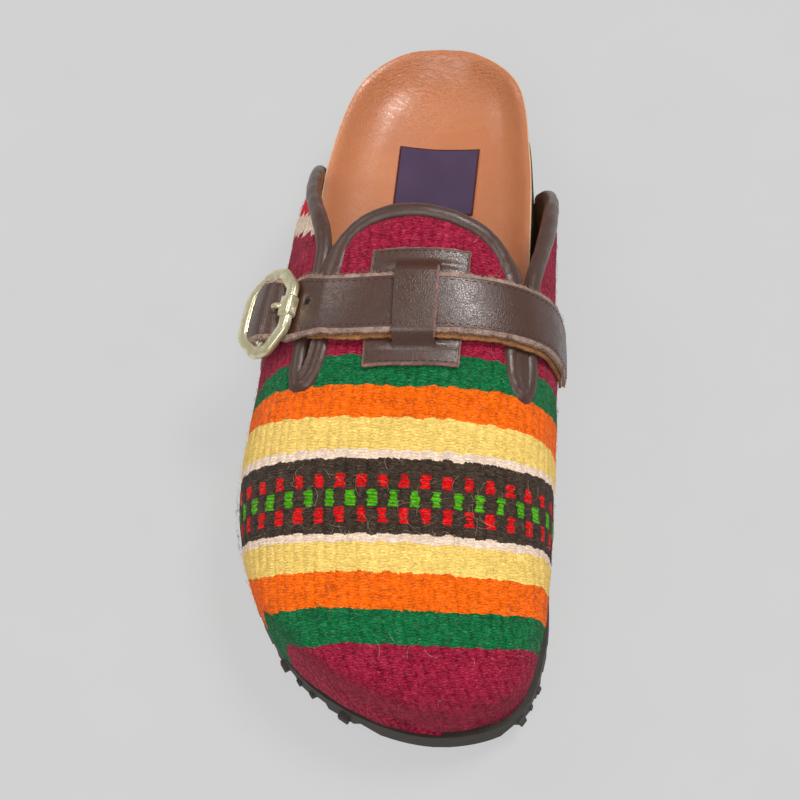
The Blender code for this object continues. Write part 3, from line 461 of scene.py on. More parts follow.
# %% The socket class
class Thread:
    def __init__(self, tree, socket=None):
        self.tree, self.socket = tree, socket

    def node(self, kind, settings=None, sockets=None, output=0):
        made = self.tree.nodes.new(kind)
        for name, value in (settings or {}).items():
            if name == "stops":
                ramp = made.color_ramp
                ramp.interpolation = "CONSTANT"
                while len(ramp.elements) < len(value):
                    ramp.elements.new(0.5)
                for element, (position, colour) in zip(ramp.elements, value):
                    element.position = position
                    element.color = (*colour, 1.0)
            else:
                setattr(made, name, value)
        for name, value in (sockets or {}).items():
            if isinstance(value, Thread):
                self.tree.links.new(value.socket, made.inputs[name])
            elif value is not None:
                made.inputs[name].default_value = value
        return Thread(self.tree, made.outputs[output] if len(made.outputs) else None)

    def math(self, operation, *others):
        return self.node("ShaderNodeMath", {"operation": operation}, dict(enumerate((self, *others))))

    def __add__(self, other):
        return self.math("ADD", other)

    def __mul__(self, other):
        return self.math("MULTIPLY", other)

    def __sub__(self, other):
        return self.math("SUBTRACT", other)

    def __truediv__(self, other):
        return self.math("DIVIDE", other)

    def __rsub__(self, other):
        return self.node("ShaderNodeMath", {"operation": "SUBTRACT"}, {0: other, 1: self})

    __radd__, __rmul__ = __add__, __mul__

    def part(self):
        return self.math("FRACT")

    def over(self, edge, soft=0.0):
        """0 below the edge and 1 above it, over a soft width."""
        if soft:
            settings = {"interpolation_type": "SMOOTHSTEP"}
            return self.node("ShaderNodeMapRange", settings, {0: self, 1: edge - soft, 2: edge + soft})
        return self.math("GREATER_THAN", edge)

    def between(self, first, second):
        """A colour: the first where this mask is 0, the second where it is 1."""
        colours = {0: self, 6: colour_of(first), 7: colour_of(second)}
        return self.node("ShaderNodeMix", {"data_type": "RGBA"}, colours, output=2)


def colour_of(value):
    return value if isinstance(value, Thread) else (*value, 1.0)


def dye(red, green, blue):
    """A colour as it is read off a screen, from 0 to 255, made linear."""
    levels = [value / 255.0 for value in (red, green, blue)]
    return tuple(v / 12.92 if v <= 0.04045 else ((v + 0.055) / 1.055) ** 2.4 for v in levels)


print("dye(128, 128, 128) =", [round(v, 3) for v in dye(128, 128, 128)])

# %% [markdown]
# Two more helpers give every finish its coordinates in millimetres and its noise, and close it with a Principled
# shader. A value that is the same all over goes straight on the shader's socket.

# %% Coordinates, noise and the shader
def new_finish(name):
    made = bpy.data.materials.new(name)
    made.use_nodes = True
    made.node_tree.nodes.clear()
    return made, Thread(made.node_tree)


def object_mm(start):
    spot = start.node("ShaderNodeTexCoord", output=3)
    return start.node("ShaderNodeVectorMath", {"operation": "SCALE"}, {0: spot, "Scale": 1000.0})


def split(vector):
    return [vector.node("ShaderNodeSeparateXYZ", None, {0: vector}, output=i) for i in range(3)]


def noise(vector, size, detail=2.0, rough=0.5):
    sockets = {"Vector": vector, "Scale": 1.0 / size, "Detail": detail, "Roughness": rough}
    return vector.node("ShaderNodeTexNoise", None, sockets)


def cells(vector, size, feature="F1", output=0):
    sockets = {"Vector": vector, "Scale": 1.0 / size}
    return vector.node("ShaderNodeTexVoronoi", {"feature": feature}, sockets, output=output)


def finish_with(start, colour, roughness, height=None, depth=0.2, **fixed):
    """Ends a finish. depth is the bump's full height in millimetres; fixed are plain socket values."""
    sockets = {"Base Color": colour_of(colour), "Roughness": roughness}
    sockets.update({name.replace("_", " "): value for name, value in fixed.items()})
    if height is not None:
        bump = {"Strength": 1.0, "Distance": depth * MM, "Height": height}
        sockets["Normal"] = start.node("ShaderNodeBump", None, bump)
    shader = start.node("ShaderNodeBsdfPrincipled", None, sockets)
    start.node("ShaderNodeOutputMaterial", None, {"Surface": shader})


# %% [markdown]
# ### Floor
# The floor is one bevelled slab, far larger than the shoe, in an even pale grey with hardly any texture. It is a
# light table, lit from below, as small goods are often photographed: shadows on it stay faint.

# %% Floor
FLOOR_SIDE, FLOOR_THICK, FLOOR_EDGE, FLOOR_DROP = 8.0, 0.02, 0.004, 0.0002
FLOOR_GREYS, FLOOR_GLOW = ((0.09, 0.09, 0.09), (0.11, 0.11, 0.11)), 0.53
floor_finish, start = new_finish("pale_floor")
grain = noise(object_mm(start), 40.0)
finish_with(start, grain.between(*FLOOR_GREYS), 0.9, Specular_IOR_Level=0.0, Emission_Color=WHITE,
            Emission_Strength=FLOOR_GLOW)
bm = bmesh.new()
bmesh.ops.create_cube(bm, size=1.0)
bmesh.ops.scale(bm, vec=(FLOOR_SIDE, FLOOR_SIDE, FLOOR_THICK), verts=bm.verts)
bmesh.ops.translate(bm, vec=(0.0, 0.0, -FLOOR_THICK / 2 - FLOOR_DROP), verts=bm.verts)
bmesh.ops.bevel(bm, geom=bm.edges[:], offset=FLOOR_EDGE, segments=2, profile=0.5, affect="EDGES", material=-1)
mesh = bpy.data.meshes.new("floor")
bm.to_mesh(mesh)
bm.free()
mesh.materials.append(floor_finish)
floor = bpy.data.objects.new("floor", mesh)
scene.collection.objects.link(floor)
print("floor", FLOOR_SIDE, "m wide")

# %% [markdown]
# ## The woven upper
# The cloth is a weft-faced flat weave: thick warps run from toe to heel and show as soft ribs, and dyed wool yarns
# cover them from side to side. Neighbouring ribs are covered half a yarn apart, so a colour always ends in a
# slightly wavy line. Lasting bends the stripes over the toe, so each line between two colours is a row of a table:
# how far from the toe it lies at eight places round the shoe.

# %% Stripe lines
STRIPE_SHARES = (0.08, 0.15, 0.25, 0.35, 0.50, 0.65, 0.75, 0.85)
STRIPE_LINES = np.array([   # mm from the toe at those shares of the way round, from the outer side to the inner
    (37.8, 38.5, 43.1, 45.3, 44.6, 43.6, 43.5, 43.8),
    (53.4, 56.0, 59.0, 59.0, 57.4, 56.5, 56.7, 57.4),
    (73.6, 73.1, 72.4, 72.0, 71.1, 69.8, 69.4, 70.4),
    (87.4, 86.5, 84.4, 83.2, 82.2, 80.9, 81.0, 83.2),
    (90.9, 90.0, 87.6, 86.4, 85.5, 84.4, 84.4, 86.3),
    (119.2, 118.3, 116.0, 114.5, 113.0, 112.2, 112.9, 115.5),
    (122.8, 122.0, 119.4, 117.6, 116.0, 115.3, 115.9, 118.8),
    (139.0, 138.0, 133.2, 130.4, 128.1, 127.6, 128.3, 130.0),
    (148.0, 147.0, 145.2, 142.0, 139.5, 139.8, 141.2, 143.6),
    (151.5, 150.5, 154.4, 153.2, 150.8, 151.2, 152.6, 155.4)])
CREST_LINES = STRIPE_LINES[:, 4]
# Near the inner welt the toe's sections bulge back, so the first lines run that much nearer the toe there.
WELT_DIPS = (2.2, 1.8, 1.4, 0.7, 0.6, 0.0, 0.0, 0.0, 0.0, 0.0)
WELT_DIP_SHARE, WELT_DIP_WIDE = 0.885, 0.035


def hump(value, middle, width):
    """A smooth hump: 1 in its middle, and nearly 0 at twice its width."""
    return np.exp(-((value - middle) / width) ** 2)


def stripe_place(along, share):
    """How far from the toe the same yarn lies on the crest of the shoe."""
    bulge = hump(share, WELT_DIP_SHARE, WELT_DIP_WIDE)
    lines = [np.interp(share, STRIPE_SHARES, row) - dip * bulge for row, dip in zip(STRIPE_LINES, WELT_DIPS)]
    low, high = lines[0], lines[-1]
    place = np.where(along < low, CREST_LINES[0] + along - low, CREST_LINES[-1] + along - high)
    for i in range(len(lines) - 1):
        within = (along >= lines[i]) & (along < lines[i + 1])
        rise = (along - lines[i]) / (lines[i + 1] - lines[i])
        place = np.where(within, CREST_LINES[i] + rise * (CREST_LINES[i + 1] - CREST_LINES[i]), place)
    return place


print("lines on the crest:", CREST_LINES)

# %% [markdown]
# The finish reads an attribute with three numbers: the way round the shoe, the way from the toe, and the place in
# the stripes. Yarns wander a little, so slow noise shifts them. Each visible bit of yarn gets its own tone,
# because hand-dyed wool is never even.

# %% Yarn finish
RIB, YARN, FIRST_SPOT = 3.775, 1.05, 0.6
RIB_ZERO = 40.5      # ribs are counted from here, so that no count is below 0
MAROON, GREEN, ORANGE = dye(154, 36, 63), dye(14, 104, 59), dye(250, 104, 2)
YELLOW, CREAM, BLACK = dye(249, 212, 122), dye(244, 218, 196), dye(62, 50, 42)
RED_SPOT, GREEN_SPOT = dye(222, 30, 36), dye(80, 172, 26)
STRIPE_DYES = (MAROON, GREEN, ORANGE, YELLOW, CREAM, BLACK, CREAM, YELLOW, ORANGE, GREEN, MAROON)
STRIPE_END = 200.0
SPOT_ROWS = (   # low and high end of each row of woven spots, the ribs that carry it, its dye
    (89.9, 95.5, 0, RED_SPOT), (96.0, 101.8, 1, GREEN_SPOT), (102.7, 107.5, 0, RED_SPOT))

wool, start = new_finish("woven_wool")
spot = object_mm(start)
x, y, z = split(spot)
weave = start.node("ShaderNodeAttribute", {"attribute_name": "weave"}, output=1)
round_mm, along_mm, stripe_mm = split(weave)
wander, jitter = noise(spot, 5.0, 2.0), noise(spot, 1.3, 2.0)
rib = (round_mm - FIRST_SPOT + (wander - 0.5) * 1.6 + (jitter - 0.5) * 0.7) / RIB + RIB_ZERO
odd = (rib * 0.5).part().over(0.5)
in_rib = rib.part() - 0.5
crown = 1.0 - in_rib * in_rib * 4.0
slant = in_rib * (odd - 0.5) * 0.7
yarn = (along_mm + (jitter - 0.5) * 1.0) / YARN + odd * 0.5 + slant
in_yarn = yarn.part() - 0.5
pick = 1.0 - in_yarn * in_yarn * 4.0
bit = start.node("ShaderNodeCombineXYZ", None, {0: rib.math("FLOOR"), 1: yarn.math("FLOOR")})
tone = start.node("ShaderNodeTexWhiteNoise", {"noise_dimensions": "2D"}, {"Vector": bit})
streak = start.node("ShaderNodeCombineXYZ", None, {0: round_mm * 0.8, 1: along_mm * 2.4, 2: z * 0.6})
fibre = noise(streak, 1.0, 3.0, 0.7)
fuzz = noise(spot, 0.6, 3.0, 0.7)
ragged = (odd - 0.5) * 0.35 + (fuzz - 0.5) * 0.9 + (wander - 0.5) * 2.2 + (jitter - 0.5) * 1.1
stops = [(0.0, MAROON)] + [(line / STRIPE_END, paint) for line, paint in zip(CREST_LINES, STRIPE_DYES[1:])]
colour = start.node("ShaderNodeValToRGB", {"stops": stops}, {0: (stripe_mm + ragged) / STRIPE_END})
print("stripes:", len(stops))

# %% [markdown]
# Three rows of spots are woven into the black band, red, green and red, on every other rib. Each spot is three or
# four yarns, whose ends are ragged.

# %% Spots
STROKE = 1.45      # the yarns of a spot are thicker
stroke = stripe_mm / STROKE + slant * 0.9 + (jitter - 0.5) * 0.7
dash = stroke.part()
ends_of = start.node("ShaderNodeCombineXYZ", None, {0: rib.math("FLOOR"), 1: stroke.math("FLOOR")})
reach = start.node("ShaderNodeTexWhiteNoise", {"noise_dimensions": "2D"}, {"Vector": ends_of})
spot_side = (in_rib + (tone - 0.5) * 0.10 + (fuzz - 0.5) * 0.30).math("ABSOLUTE") + reach * 0.27
for low, high, ribs, paint in SPOT_ROWS:
    level = stripe_mm + (fuzz - 0.5) * 0.9 + (wander - 0.5) * 1.5
    mask = level.over(low, 0.2) * (1.0 - level.over(high, 0.2)) * (odd if ribs else 1.0 - odd)
    mask = mask * (1.0 - spot_side.over(0.54, 0.06)) * (1.0 - dash.over(0.80, 0.16) * 0.8)
    colour = mask.between(colour, paint)
print("rows of spots:", len(SPOT_ROWS))

# %% [markdown]
# On the outer side the cloth's next motif begins near the heel: a stepped cream edge, then red, then green. Steps
# come from rounding the height to whole ribs. Last, shade sits between the yarns, and pale fibre ends catch light.
# Dark wool shows more of this than pale wool, so the tones depend on how pale the dye is.

# %% Motif, shade and fibre ends
STEP, STEP_SHIFT, STEP_ZERO, MOTIF_EDGE = 5.2, -3.4, 11.0, -17.0
MOTIF = ((212.0, CREAM), (221.0, dye(226, 44, 56)), (240.0, GREEN))
stepped = ((z + (wander - 0.5) * 4.0) / STEP).math("FLOOR") * STEP_SHIFT - STEP_ZERO * STEP_SHIFT
motif_mm = along_mm - stepped + (fuzz - 0.5) * 2.0
for edge, paint in MOTIF:
    colour = ((1.0 - x.over(MOTIF_EDGE)) * motif_mm.over(edge)).between(colour, paint)


def toned(colour, saturation, value):
    return start.node("ShaderNodeHueSaturation", None, {"Saturation": saturation, "Value": value, "Color": colour})


def stretched(wide, tall, lean=0.0):
    """Coordinates for noise whose marks are wide along the yarn and tall along the rib, in millimetres."""
    place = {0: (round_mm + along_mm * lean) / wide, 1: (along_mm - round_mm * lean) / tall, 2: z * 0.4}
    return start.node("ShaderNodeCombineXYZ", None, place)


mottle_and_painted_shade = (fibre - 0.5) * 1.7 + (fuzz - 0.5) * 1.2 + (jitter - 0.5) * 1.5
mottle_and_painted_shade = mottle_and_painted_shade + (tone - 0.5) * 0.22 + (wander - 0.5) * 0.8
# The crown and pick terms are painted shade: darker in the hollows between ribs and between yarns.
mottle_and_painted_shade = mottle_and_painted_shade - (1.0 - crown) * 0.30 - (1.0 - pick) * 0.22 + 0.66
pale = start.node("ShaderNodeRGBToBW", None, {0: colour})
colour = mottle_and_painted_shade.between(toned(colour, 1.06, pale * 0.46 + 0.46), toned(colour, 1.02, 1.52 - pale * 0.48))
flecks = noise(stretched(1.5, 0.55), 1.0, 2.0, 0.6).over(0.63, 0.04) * 0.24
colour = flecks.between(colour, toned(colour, 1.1, pale * 0.40 + 0.36))
# Fibre ends are painted lighter, a painted highlight where they catch light, with a touch of pale cream.
for lean in (0.5, -0.4):
    ends = noise(stretched(1.9, 0.42, lean), 1.0, 2.0, 0.5).over(0.61, 0.04)
    colour = (ends * 0.5).between(colour, toned(colour, 1.0, 1.65))
    colour = (ends * 0.04).between(colour, dye(236, 214, 170))
height = pick * crown * 0.60 + fibre * 0.5 + fuzz * 0.6
finish_with(start, colour, 0.95, height, 0.5, Specular_IOR_Level=0.06, Sheen_Weight=0.08, Sheen_Roughness=0.5)
print("yarns", YARN, "mm, ribs", RIB, "mm")

# %% [markdown]
# The trim is a thin, semi-gloss, dark brown leather. Its grain is a net of fine cells with a few longer creases,
# and it is glossier where the grain is stretched flat. Cut edges show the paler, fuzzy inside of the hide.

# %% Brown leather and raw edges
def leather(name, base, dark, roughness, grain=0.9, depth=0.065, crease=9.0, shine=0.70):
    made, start = new_finish(name)
    spot = object_mm(start)
    pebble = cells(spot, grain, "DISTANCE_TO_EDGE").over(0.06, 0.12)
    wrinkle = noise(spot, crease, 4.0, 0.6)
    folds = (wrinkle - 0.5).math("ABSOLUTE").over(0.03, 0.03)
    cloud = noise(spot, 14.0, 3.0)
    # Grain cell edges and creases are painted darker as shade; the slow cloud is the leather's own uneven tone.
    shade_and_tone = (1.0 - pebble) * 0.15 + (1.0 - folds) * 0.18 + (cloud - 0.4) * 0.5
    colour = shade_and_tone.between(base, dark)
    gloss = (cloud - 0.5) * 0.25 + (1.0 - pebble) * 0.12 + (1.0 - folds) * 0.10 + roughness
    height = pebble * 0.5 + folds * 0.30 + noise(spot, 1.1, 2.0, 0.6) * 0.8
    finish_with(start, colour, gloss, height, depth, Specular_IOR_Level=shine)
    return made


def raw_edge(name, pale, dark):
    made, start = new_finish(name)
    spot = object_mm(start)
    fibre = noise(spot, 0.6, 3.0, 0.7)
    cloud = noise(spot, 3.0, 2.0)
    finish_with(start, (fibre * 1.7 + cloud * 1.0 - 0.9).between(pale, dark), 0.95, fibre, 0.5,
                Specular_IOR_Level=0.15)
    return made


brown = leather("brown_leather", dye(79, 50, 38), dye(48, 29, 21), 0.27)
bead_leather = leather("rolled_leather", dye(80, 53, 43), dye(48, 31, 24), 0.27, grain=0.6, depth=0.05, shine=0.58)
brown_edge = raw_edge("brown_raw_edge", dye(200, 170, 154), dye(86, 59, 49))
keeper_edge = raw_edge("keeper_raw_edge", dye(174, 130, 120), dye(92, 61, 54))
tan_back = raw_edge("tan_backing", dye(184, 130, 84), dye(112, 70, 42))
lining_leather = leather("lining_leather", dye(112, 82, 66), dye(70, 50, 40), 0.55, shine=0.4)
print("leathers made")

# %% [markdown]
# The upper starts as one flat sheet with a column every seventh of a rib. Cells beyond the rolled edge are
# deleted, and then those that would touch the rest at one corner only. The sheet is extruded to its thickness and
# its points are laid on the upper's surface, with the ribs standing a little proud. The outer side is wool, and
# the inner side is the thin leather that lines it.

# %% Cloth of the upper
UPPER_THICK, RIB_RELIEF, SWAY, WELT_SWELL, SIDE_DIP = 2.4, 0.20, 0.12, 1.2, 0.9
CLOTH_COLUMNS, CLOTH_ROWS = 384, 150
MARGIN, CUT_BACK, HAIR_BACK = 9.0, 0.8, 5.0


def collar_path(count=900):
    dense = path_through(np.array(COLLAR) * np.array([FLAT_GIRTH, 1.0, 1.0]), 2400)
    run = run_along(dense[:, :2])
    return resampled(dense, run, np.linspace(0.0, run[-1], count))


def inside(polygon, spots):
    """True for each spot inside a closed outline, by counting the edges to its right."""
    odd_count = np.zeros(len(spots), bool)
    for (x0, y0), (x1, y1) in zip(polygon, np.roll(polygon, -1, axis=0)):
        if y0 != y1:
            hit = (spots[:, 1] > min(y0, y1)) & (spots[:, 1] <= max(y0, y1))
            odd_count ^= hit & (spots[:, 0] < x0 + (spots[:, 1] - y0) * (x1 - x0) / (y1 - y0))
    return odd_count


def inner_edge(back):
    """The collar line moved back into the cloth, closed round the open heel."""
    line = collar_path(500)[:, :2]
    way = unit(np.gradient(line, axis=0))
    line = line + np.stack([way[:, 1], -way[:, 0]], axis=1) * back
    line[0, 0], line[-1, 0] = -MARGIN, FLAT_GIRTH + MARGIN
    return np.vstack([line, [[FLAT_GIRTH + MARGIN, LENGTH + MARGIN], [-MARGIN, LENGTH + MARGIN]]])


def open_places(share, along, back):
    spots = np.stack([np.asarray(share) * FLAT_GIRTH, along], axis=1)
    return inside(inner_edge(back), spots)


def weave_values(share, along):
    return np.stack([sampled(ROUND, along, share)[..., 0], along, stripe_place(along, share)], axis=1)


def cloth_relief(share, along):
    way = sampled(ROUND, along, share)[..., 0]
    rib = (way - FIRST_SPOT) / RIB + RIB_ZERO
    crown = 1 - (2 * (rib % 1.0) - 1) ** 2
    sway = np.sin(way * 0.21 + along * 0.13) + np.sin(along * 0.31 - way * 0.17)
    near_welt = hump(share, 0.0, 0.11) * clipped((62.0 - along) / 25.0)
    beside = hump(share, 0.12, 0.11) * hump(along, 105.0, 38.0)
    return (crown - 0.6) * RIB_RELIEF + sway * SWAY + near_welt * WELT_SWELL - beside * SIDE_DIP


bm = flat_grid(CLOTH_COLUMNS, CLOTH_ROWS)
centres = np.array([face.calc_center_median()[:2] for face in bm.faces])
gone = open_places(centres[:, 0], centres[:, 1] * LENGTH, CUT_BACK)
bmesh.ops.delete(bm, geom=[face for face, cut in zip(bm.faces, gone) if cut], context="FACES")
touching = [vert.link_faces[0] for vert in bm.verts if len(vert.link_faces) == 2 and len(vert.link_edges) == 4]
bmesh.ops.delete(bm, geom=touching, context="FACES")
thickened(bm)
for face in bm.faces:
    face.material_index = int(max(vert.co.z for vert in face.verts) < -0.5)
spots = np.array([vert.co[:] for vert in bm.verts])
layer = bm.verts.layers.float_vector.new("weave")
for vert, value in zip(bm.verts, weave_values(spots[:, 0], spots[:, 1] * LENGTH)):
    vert[layer] = value
moved(bm, lambda u, v, w: on_upper(v * LENGTH, u, np.where(w > -0.5, cloth_relief(u, v * LENGTH), -UPPER_THICK)))
piece("upper_cloth", bm, [wool, lining_leather], ["upper"])

# %% [markdown]
# Wool is never smooth: short fibre ends stand out all over it, and a few long pale hairs lie loose, most of them
# on the black band. Thousands of hairs are best made as one mesh from arrays, each hair a thin three-sided tube.

# %% Hairs
def strands(name, paths, radius, sides, finish, weave_at=None):
    """One mesh of many thin tubes, one for each path of points in millimetres."""
    paths = np.asarray(paths, float)
    count, length, _ = paths.shape
    run = unit(np.gradient(paths, axis=1))
    side = unit(np.cross(run, np.array([0.31, 0.17, 0.94])))
    out = np.cross(side, run)
    angle = np.arange(sides) / sides * 2 * np.pi
    ends = clipped(np.minimum(np.arange(length), np.arange(length)[::-1]) + 0.35)
    ring = side[:, :, None] * np.cos(angle)[:, None] + out[:, :, None] * np.sin(angle)[:, None]
    points = scaled(paths[:, :, None] + ring * (radius * ends)[None, :, None, None])
    i, j = np.meshgrid(np.arange(length - 1), np.arange(sides), indexing="ij")
    k = (j + 1) % sides
    corners = [i * sides + j, i * sides + k, (i + 1) * sides + k, (i + 1) * sides + j]
    walls = np.stack(corners, axis=2).reshape(-1, 4)
    caps = np.array([np.arange(sides)[::-1], (length - 1) * sides + np.arange(sides)])
    first = (np.arange(count) * length * sides)[:, None, None]
    faces = [list(face) for face in (walls + first).reshape(-1, 4)]
    faces += [list(face) for face in (caps + first).reshape(-1, sides)]
    mesh = bpy.data.meshes.new(name)
    mesh.from_pydata(points.reshape(-1, 3).tolist(), [], [[int(v) for v in face] for face in faces])
    if weave_at is not None:
        values = np.repeat(weave_at, length * sides, axis=0).astype(np.float32)
        mesh.attributes.new("weave", "FLOAT_VECTOR", "POINT").data.foreach_set("vector", values.ravel())
    mesh.materials.append(finish)
    for face in mesh.polygons:
        face.use_smooth = True
    on_shoe(name, mesh)


def hair_paths(rng, share, along, length, lift, points):
    """Hairs that start on the cloth and curl over it."""
    heading = rng.uniform(0.0, 2 * np.pi, len(share))
    bend = rng.uniform(-1.6, 1.6, len(share))
    paths = []
    for step in np.linspace(0.0, 1.0, points):
        turn = heading + bend * step
        to_share = share + np.cos(turn) * length * step / FLAT_GIRTH
        to_along = along + np.sin(turn) * length * step
        rise = lift * np.sin(step * np.pi * 0.62) - 0.12
        paths.append(on_upper(to_along, to_share, rise))
    return np.stack(paths, axis=1)


def scattered(rng, count, shares_between, along_between):
    share, along = rng.uniform(*shares_between, count), rng.uniform(*along_between, count)
    keep = ~open_places(share, along, HAIR_BACK)
    return share[keep], along[keep]


FUZZ_COUNT, BAND_HAIRS, OTHER_HAIRS = 5200, 60, 34
FUZZ_RADIUS, HAIR_RADIUS = 0.045, 0.035
rng = np.random.default_rng(7)
share, along = scattered(rng, FUZZ_COUNT, (0.03, 0.97), (4.0, 250.0))
length, lift = rng.uniform(0.9, 2.6, len(share)), rng.uniform(0.25, 0.85, len(share))
strands("cloth_fuzz", hair_paths(rng, share, along, length, lift, 4), FUZZ_RADIUS, 3, wool,
        weave_values(share, along))
pale_hair, start = new_finish("pale_hair")
strand_tone = noise(object_mm(start), 6.0)
finish_with(start, strand_tone.between(dye(236, 214, 184), dye(176, 140, 104)), 0.7)
share, along = scattered(rng, BAND_HAIRS, (0.16, 0.84), (84.0, 118.0))
more_share, more_along = scattered(rng, OTHER_HAIRS, (0.14, 0.86), (20.0, 200.0))
share, along = np.r_[share, more_share], np.r_[along, more_along]
length, lift = rng.uniform(3.0, 9.0, len(share)), rng.uniform(0.4, 1.1, len(share))
strands("loose_hairs", hair_paths(rng, share, along, length, lift, 12), HAIR_RADIUS, 3, pale_hair)

# %% [markdown]
# ## Rolled edge
# A strip of leather is folded over the cloth's raw edge and rolled, from the outer heel up over both slits and the
# throat and down again. It is a tube along the collar line, a bit flatter than round, and it puckers in the bends.

# %% Rolled leather edge
BEAD_SPREAD, BEAD_LEAN = 1.6, 0.9      # how much wider the roll is where it is pulled flat, and its shift there
BEAD_WIDER, BEAD_TALLER = 0.45, 0.1    # over the CAD model's radius
THROAT_SIDES, THROAT_ALONG = (0.352, 0.692), 190.0    # where the roll is pulled flat beside the strap
REAR_SHARE, REAR_FLAT = 0.83, 0.7      # and, less so, at the inner rear

collar_mm, collar_along, collar_height = collar_path(720).T
collar_share = collar_mm / FLAT_GIRTH
bead_path = on_upper(collar_along, collar_share, collar_height)
bead_up = on_upper(collar_along, collar_share, collar_height + 1.0) - bead_path
turns = np.gradient(np.unwrap(np.arctan2(np.gradient(collar_along), np.gradient(collar_mm))))
pucker = clipped(np.abs(turns) * 9.0)
beside_strap = sum(hump(collar_share, middle, 0.014) for middle in THROAT_SIDES)
flattened = beside_strap * hump(collar_along, THROAT_ALONG, 9.0) + REAR_FLAT * hump(collar_share, REAR_SHARE, 0.05)


def bead_profile(u, v):
    row = np.rint(v * (len(bead_path) - 1)).astype(int)
    angle = u * 2 * np.pi
    swell = 1.0 + 0.03 * np.sin(row * 0.11) + 0.02 * np.sin(row * 0.37 + angle)
    swell = swell + 0.05 * pucker[row] * np.sin(row * 0.9 + 2 * angle)
    wide, tall = BEAD_RADIUS + BEAD_WIDER + BEAD_SPREAD * flattened[row], BEAD_RADIUS + BEAD_TALLER
    return wide * np.cos(angle) * swell - BEAD_LEAN * flattened[row], tall * np.sin(angle) * swell


bm = tube(bead_path, bead_profile, bead_up)
piece("rolled_edge", bm, [bead_leather], ["binding"])

# %% [markdown]
# At the end of each slit the two rolls meet in a solid tip of leather, and only a short drop-shaped opening is
# left below the strap. One small patch makes both: it is level with the rolls, and it sinks inside the opening.

# %% Slit patches
PATCH_HEIGHT, PATCH_DOME, PATCH_THICK, SLIT_DEPTH = 0.7, 0.5, 0.8, 3.6
SLIT_LONG, SLIT_TAPER, SLIT_SLOPE = 12.0, 5.0, 0.8
SLITS = {   # rows of along and both sides' shares; the slit's tip, shares there and further up, half width
    "outer_slit_patch": (
        ((144.3, 0.303, 0.314), (149.0, 0.296, 0.332), (157.0, 0.295, 0.343), (186.0, 0.297, 0.343)),
        150.0, (0.307, 0.319), 1.5),
    "inner_slit_patch": (
        ((143.0, 0.737, 0.745), (149.5, 0.714, 0.755), (157.0, 0.706, 0.754), (178.0, 0.706, 0.744)),
        150.5, (0.750, 0.742), 0.7),
}


def slit_patch(name, sides, tip, middle, half_width):
    alongs, lows, highs = np.array(sides).T

    def place(u, v, w):
        along = alongs[0] + (alongs[-1] - alongs[0]) * v
        low, high = np.interp(along, alongs, lows), np.interp(along, alongs, highs)
        share = low + (high - low) * u
        line = np.interp(along, (tip, tip + SLIT_LONG), middle)
        opened = half_width * clipped((along - tip) / SLIT_TAPER) ** 0.6
        off = np.abs(share - line) * FLAT_GIRTH
        sunk = clipped((opened + SLIT_SLOPE / 2 - off) / SLIT_SLOPE) * (along > tip)
        domed = PATCH_DOME * (1 - (2 * u - 1) ** 2)
        return on_upper(along, share, PATCH_HEIGHT + domed - sunk * SLIT_DEPTH + w * PATCH_THICK)

    bm = moved(thickened(flat_grid(28, 60)), place)
    piece(name, bm, [bead_leather, bead_leather])


for name, values in SLITS.items():
    slit_patch(name, *values)

# %% [markdown]
# ## Strap, its backing and the keeper
# The strap is two layers: brown leather on top and a slightly wider tan backing below, whose cut edge shows. Each
# is a flat strip bent over the upper. The strap's end leaves the upper, dips under the buckle's front bar and
# climbs over its centre bar.

# %% Buckle axes and the strap's line
BUCKLE_SHARE, BUCKLE_ALONG, BUCKLE_HEIGHT = 0.291, 174.3, 6.1
BUCKLE_SLOPE, BUCKLE_SKEW = math.radians(40.0), np.array([0.175, 0.976, 0.127])
BUCKLE_LENGTH, BUCKLE_WIDTH = 21.5, 31.0
STRAP_WIDTH, BACKING_WIDTH, STRAP_THICK, BACKING_THICK = 22.4, 24.2, 1.5, 1.0
TAIL = ((-2.0, -3.4), (0.0, -3.3), (3.3, -2.4), (6.9, 1.2), (10.2, 2.5), (14.0, 1.9), (18.0, 0.6))

buckle_origin = on_upper(BUCKLE_ALONG, BUCKLE_SHARE, BUCKLE_HEIGHT)
axis_b = unit(BUCKLE_SKEW)
axis_a = np.array([-math.cos(BUCKLE_SLOPE), 0.0, -math.sin(BUCKLE_SLOPE)])
axis_a = unit(axis_a - axis_b * axis_a.dot(axis_b))
axis_c = np.cross(axis_b, axis_a)


def in_buckle(a, b, c):
    a, b, c = np.broadcast_arrays(*(np.asarray(v, float) for v in (a, b, c)))
    return buckle_origin + a[..., None] * axis_a + b[..., None] * axis_b + c[..., None] * axis_c


def strap_line(share):
    return smooth(STRAP[:, 0], STRAP[:, 1], share), smooth(STRAP[:, 0], STRAP[:, 2], share)


print("buckle at", scaled(buckle_origin).round(4))

# %% [markdown]
# The leather was cut by hand and its edge left raw, so the edge is pale and not quite straight. The strap is a
# slab of small cells. The outermost column on each side slopes down and has the raw finish, and the cut wanders.
# Near the buckle the strap stops following the upper and becomes flat.

# %% Strap
STRAP_ROWS, TAIL_ROWS, STRAP_COLUMNS, ARCH_FADE = 150, 60, 24, 16.0
RIM_WIDE, EDGE_DROP, STRAP_CROWN = 1.6, 0.40, 0.5
TAIL_TOE_SIDE = (11.6, 11.6, 11.8, 12.2, 12.3, 12.3, 10.6)      # half widths of the tail at its rows
TAIL_HEEL_SIDE = (14.8, 14.6, 13.2, 12.3, 12.3, 12.3, 10.6)
HOLE_BEFORE_BAR, HOLE_ACROSS, HOLE_RADIUS, HOLE_DEPTH, DENT_REACH = 6.0, 0.55, 1.2, 0.8, 1.5
STRAP_ENDS = (0.915, 0.352)     # shares of its sewn end and of the place where it leaves the upper

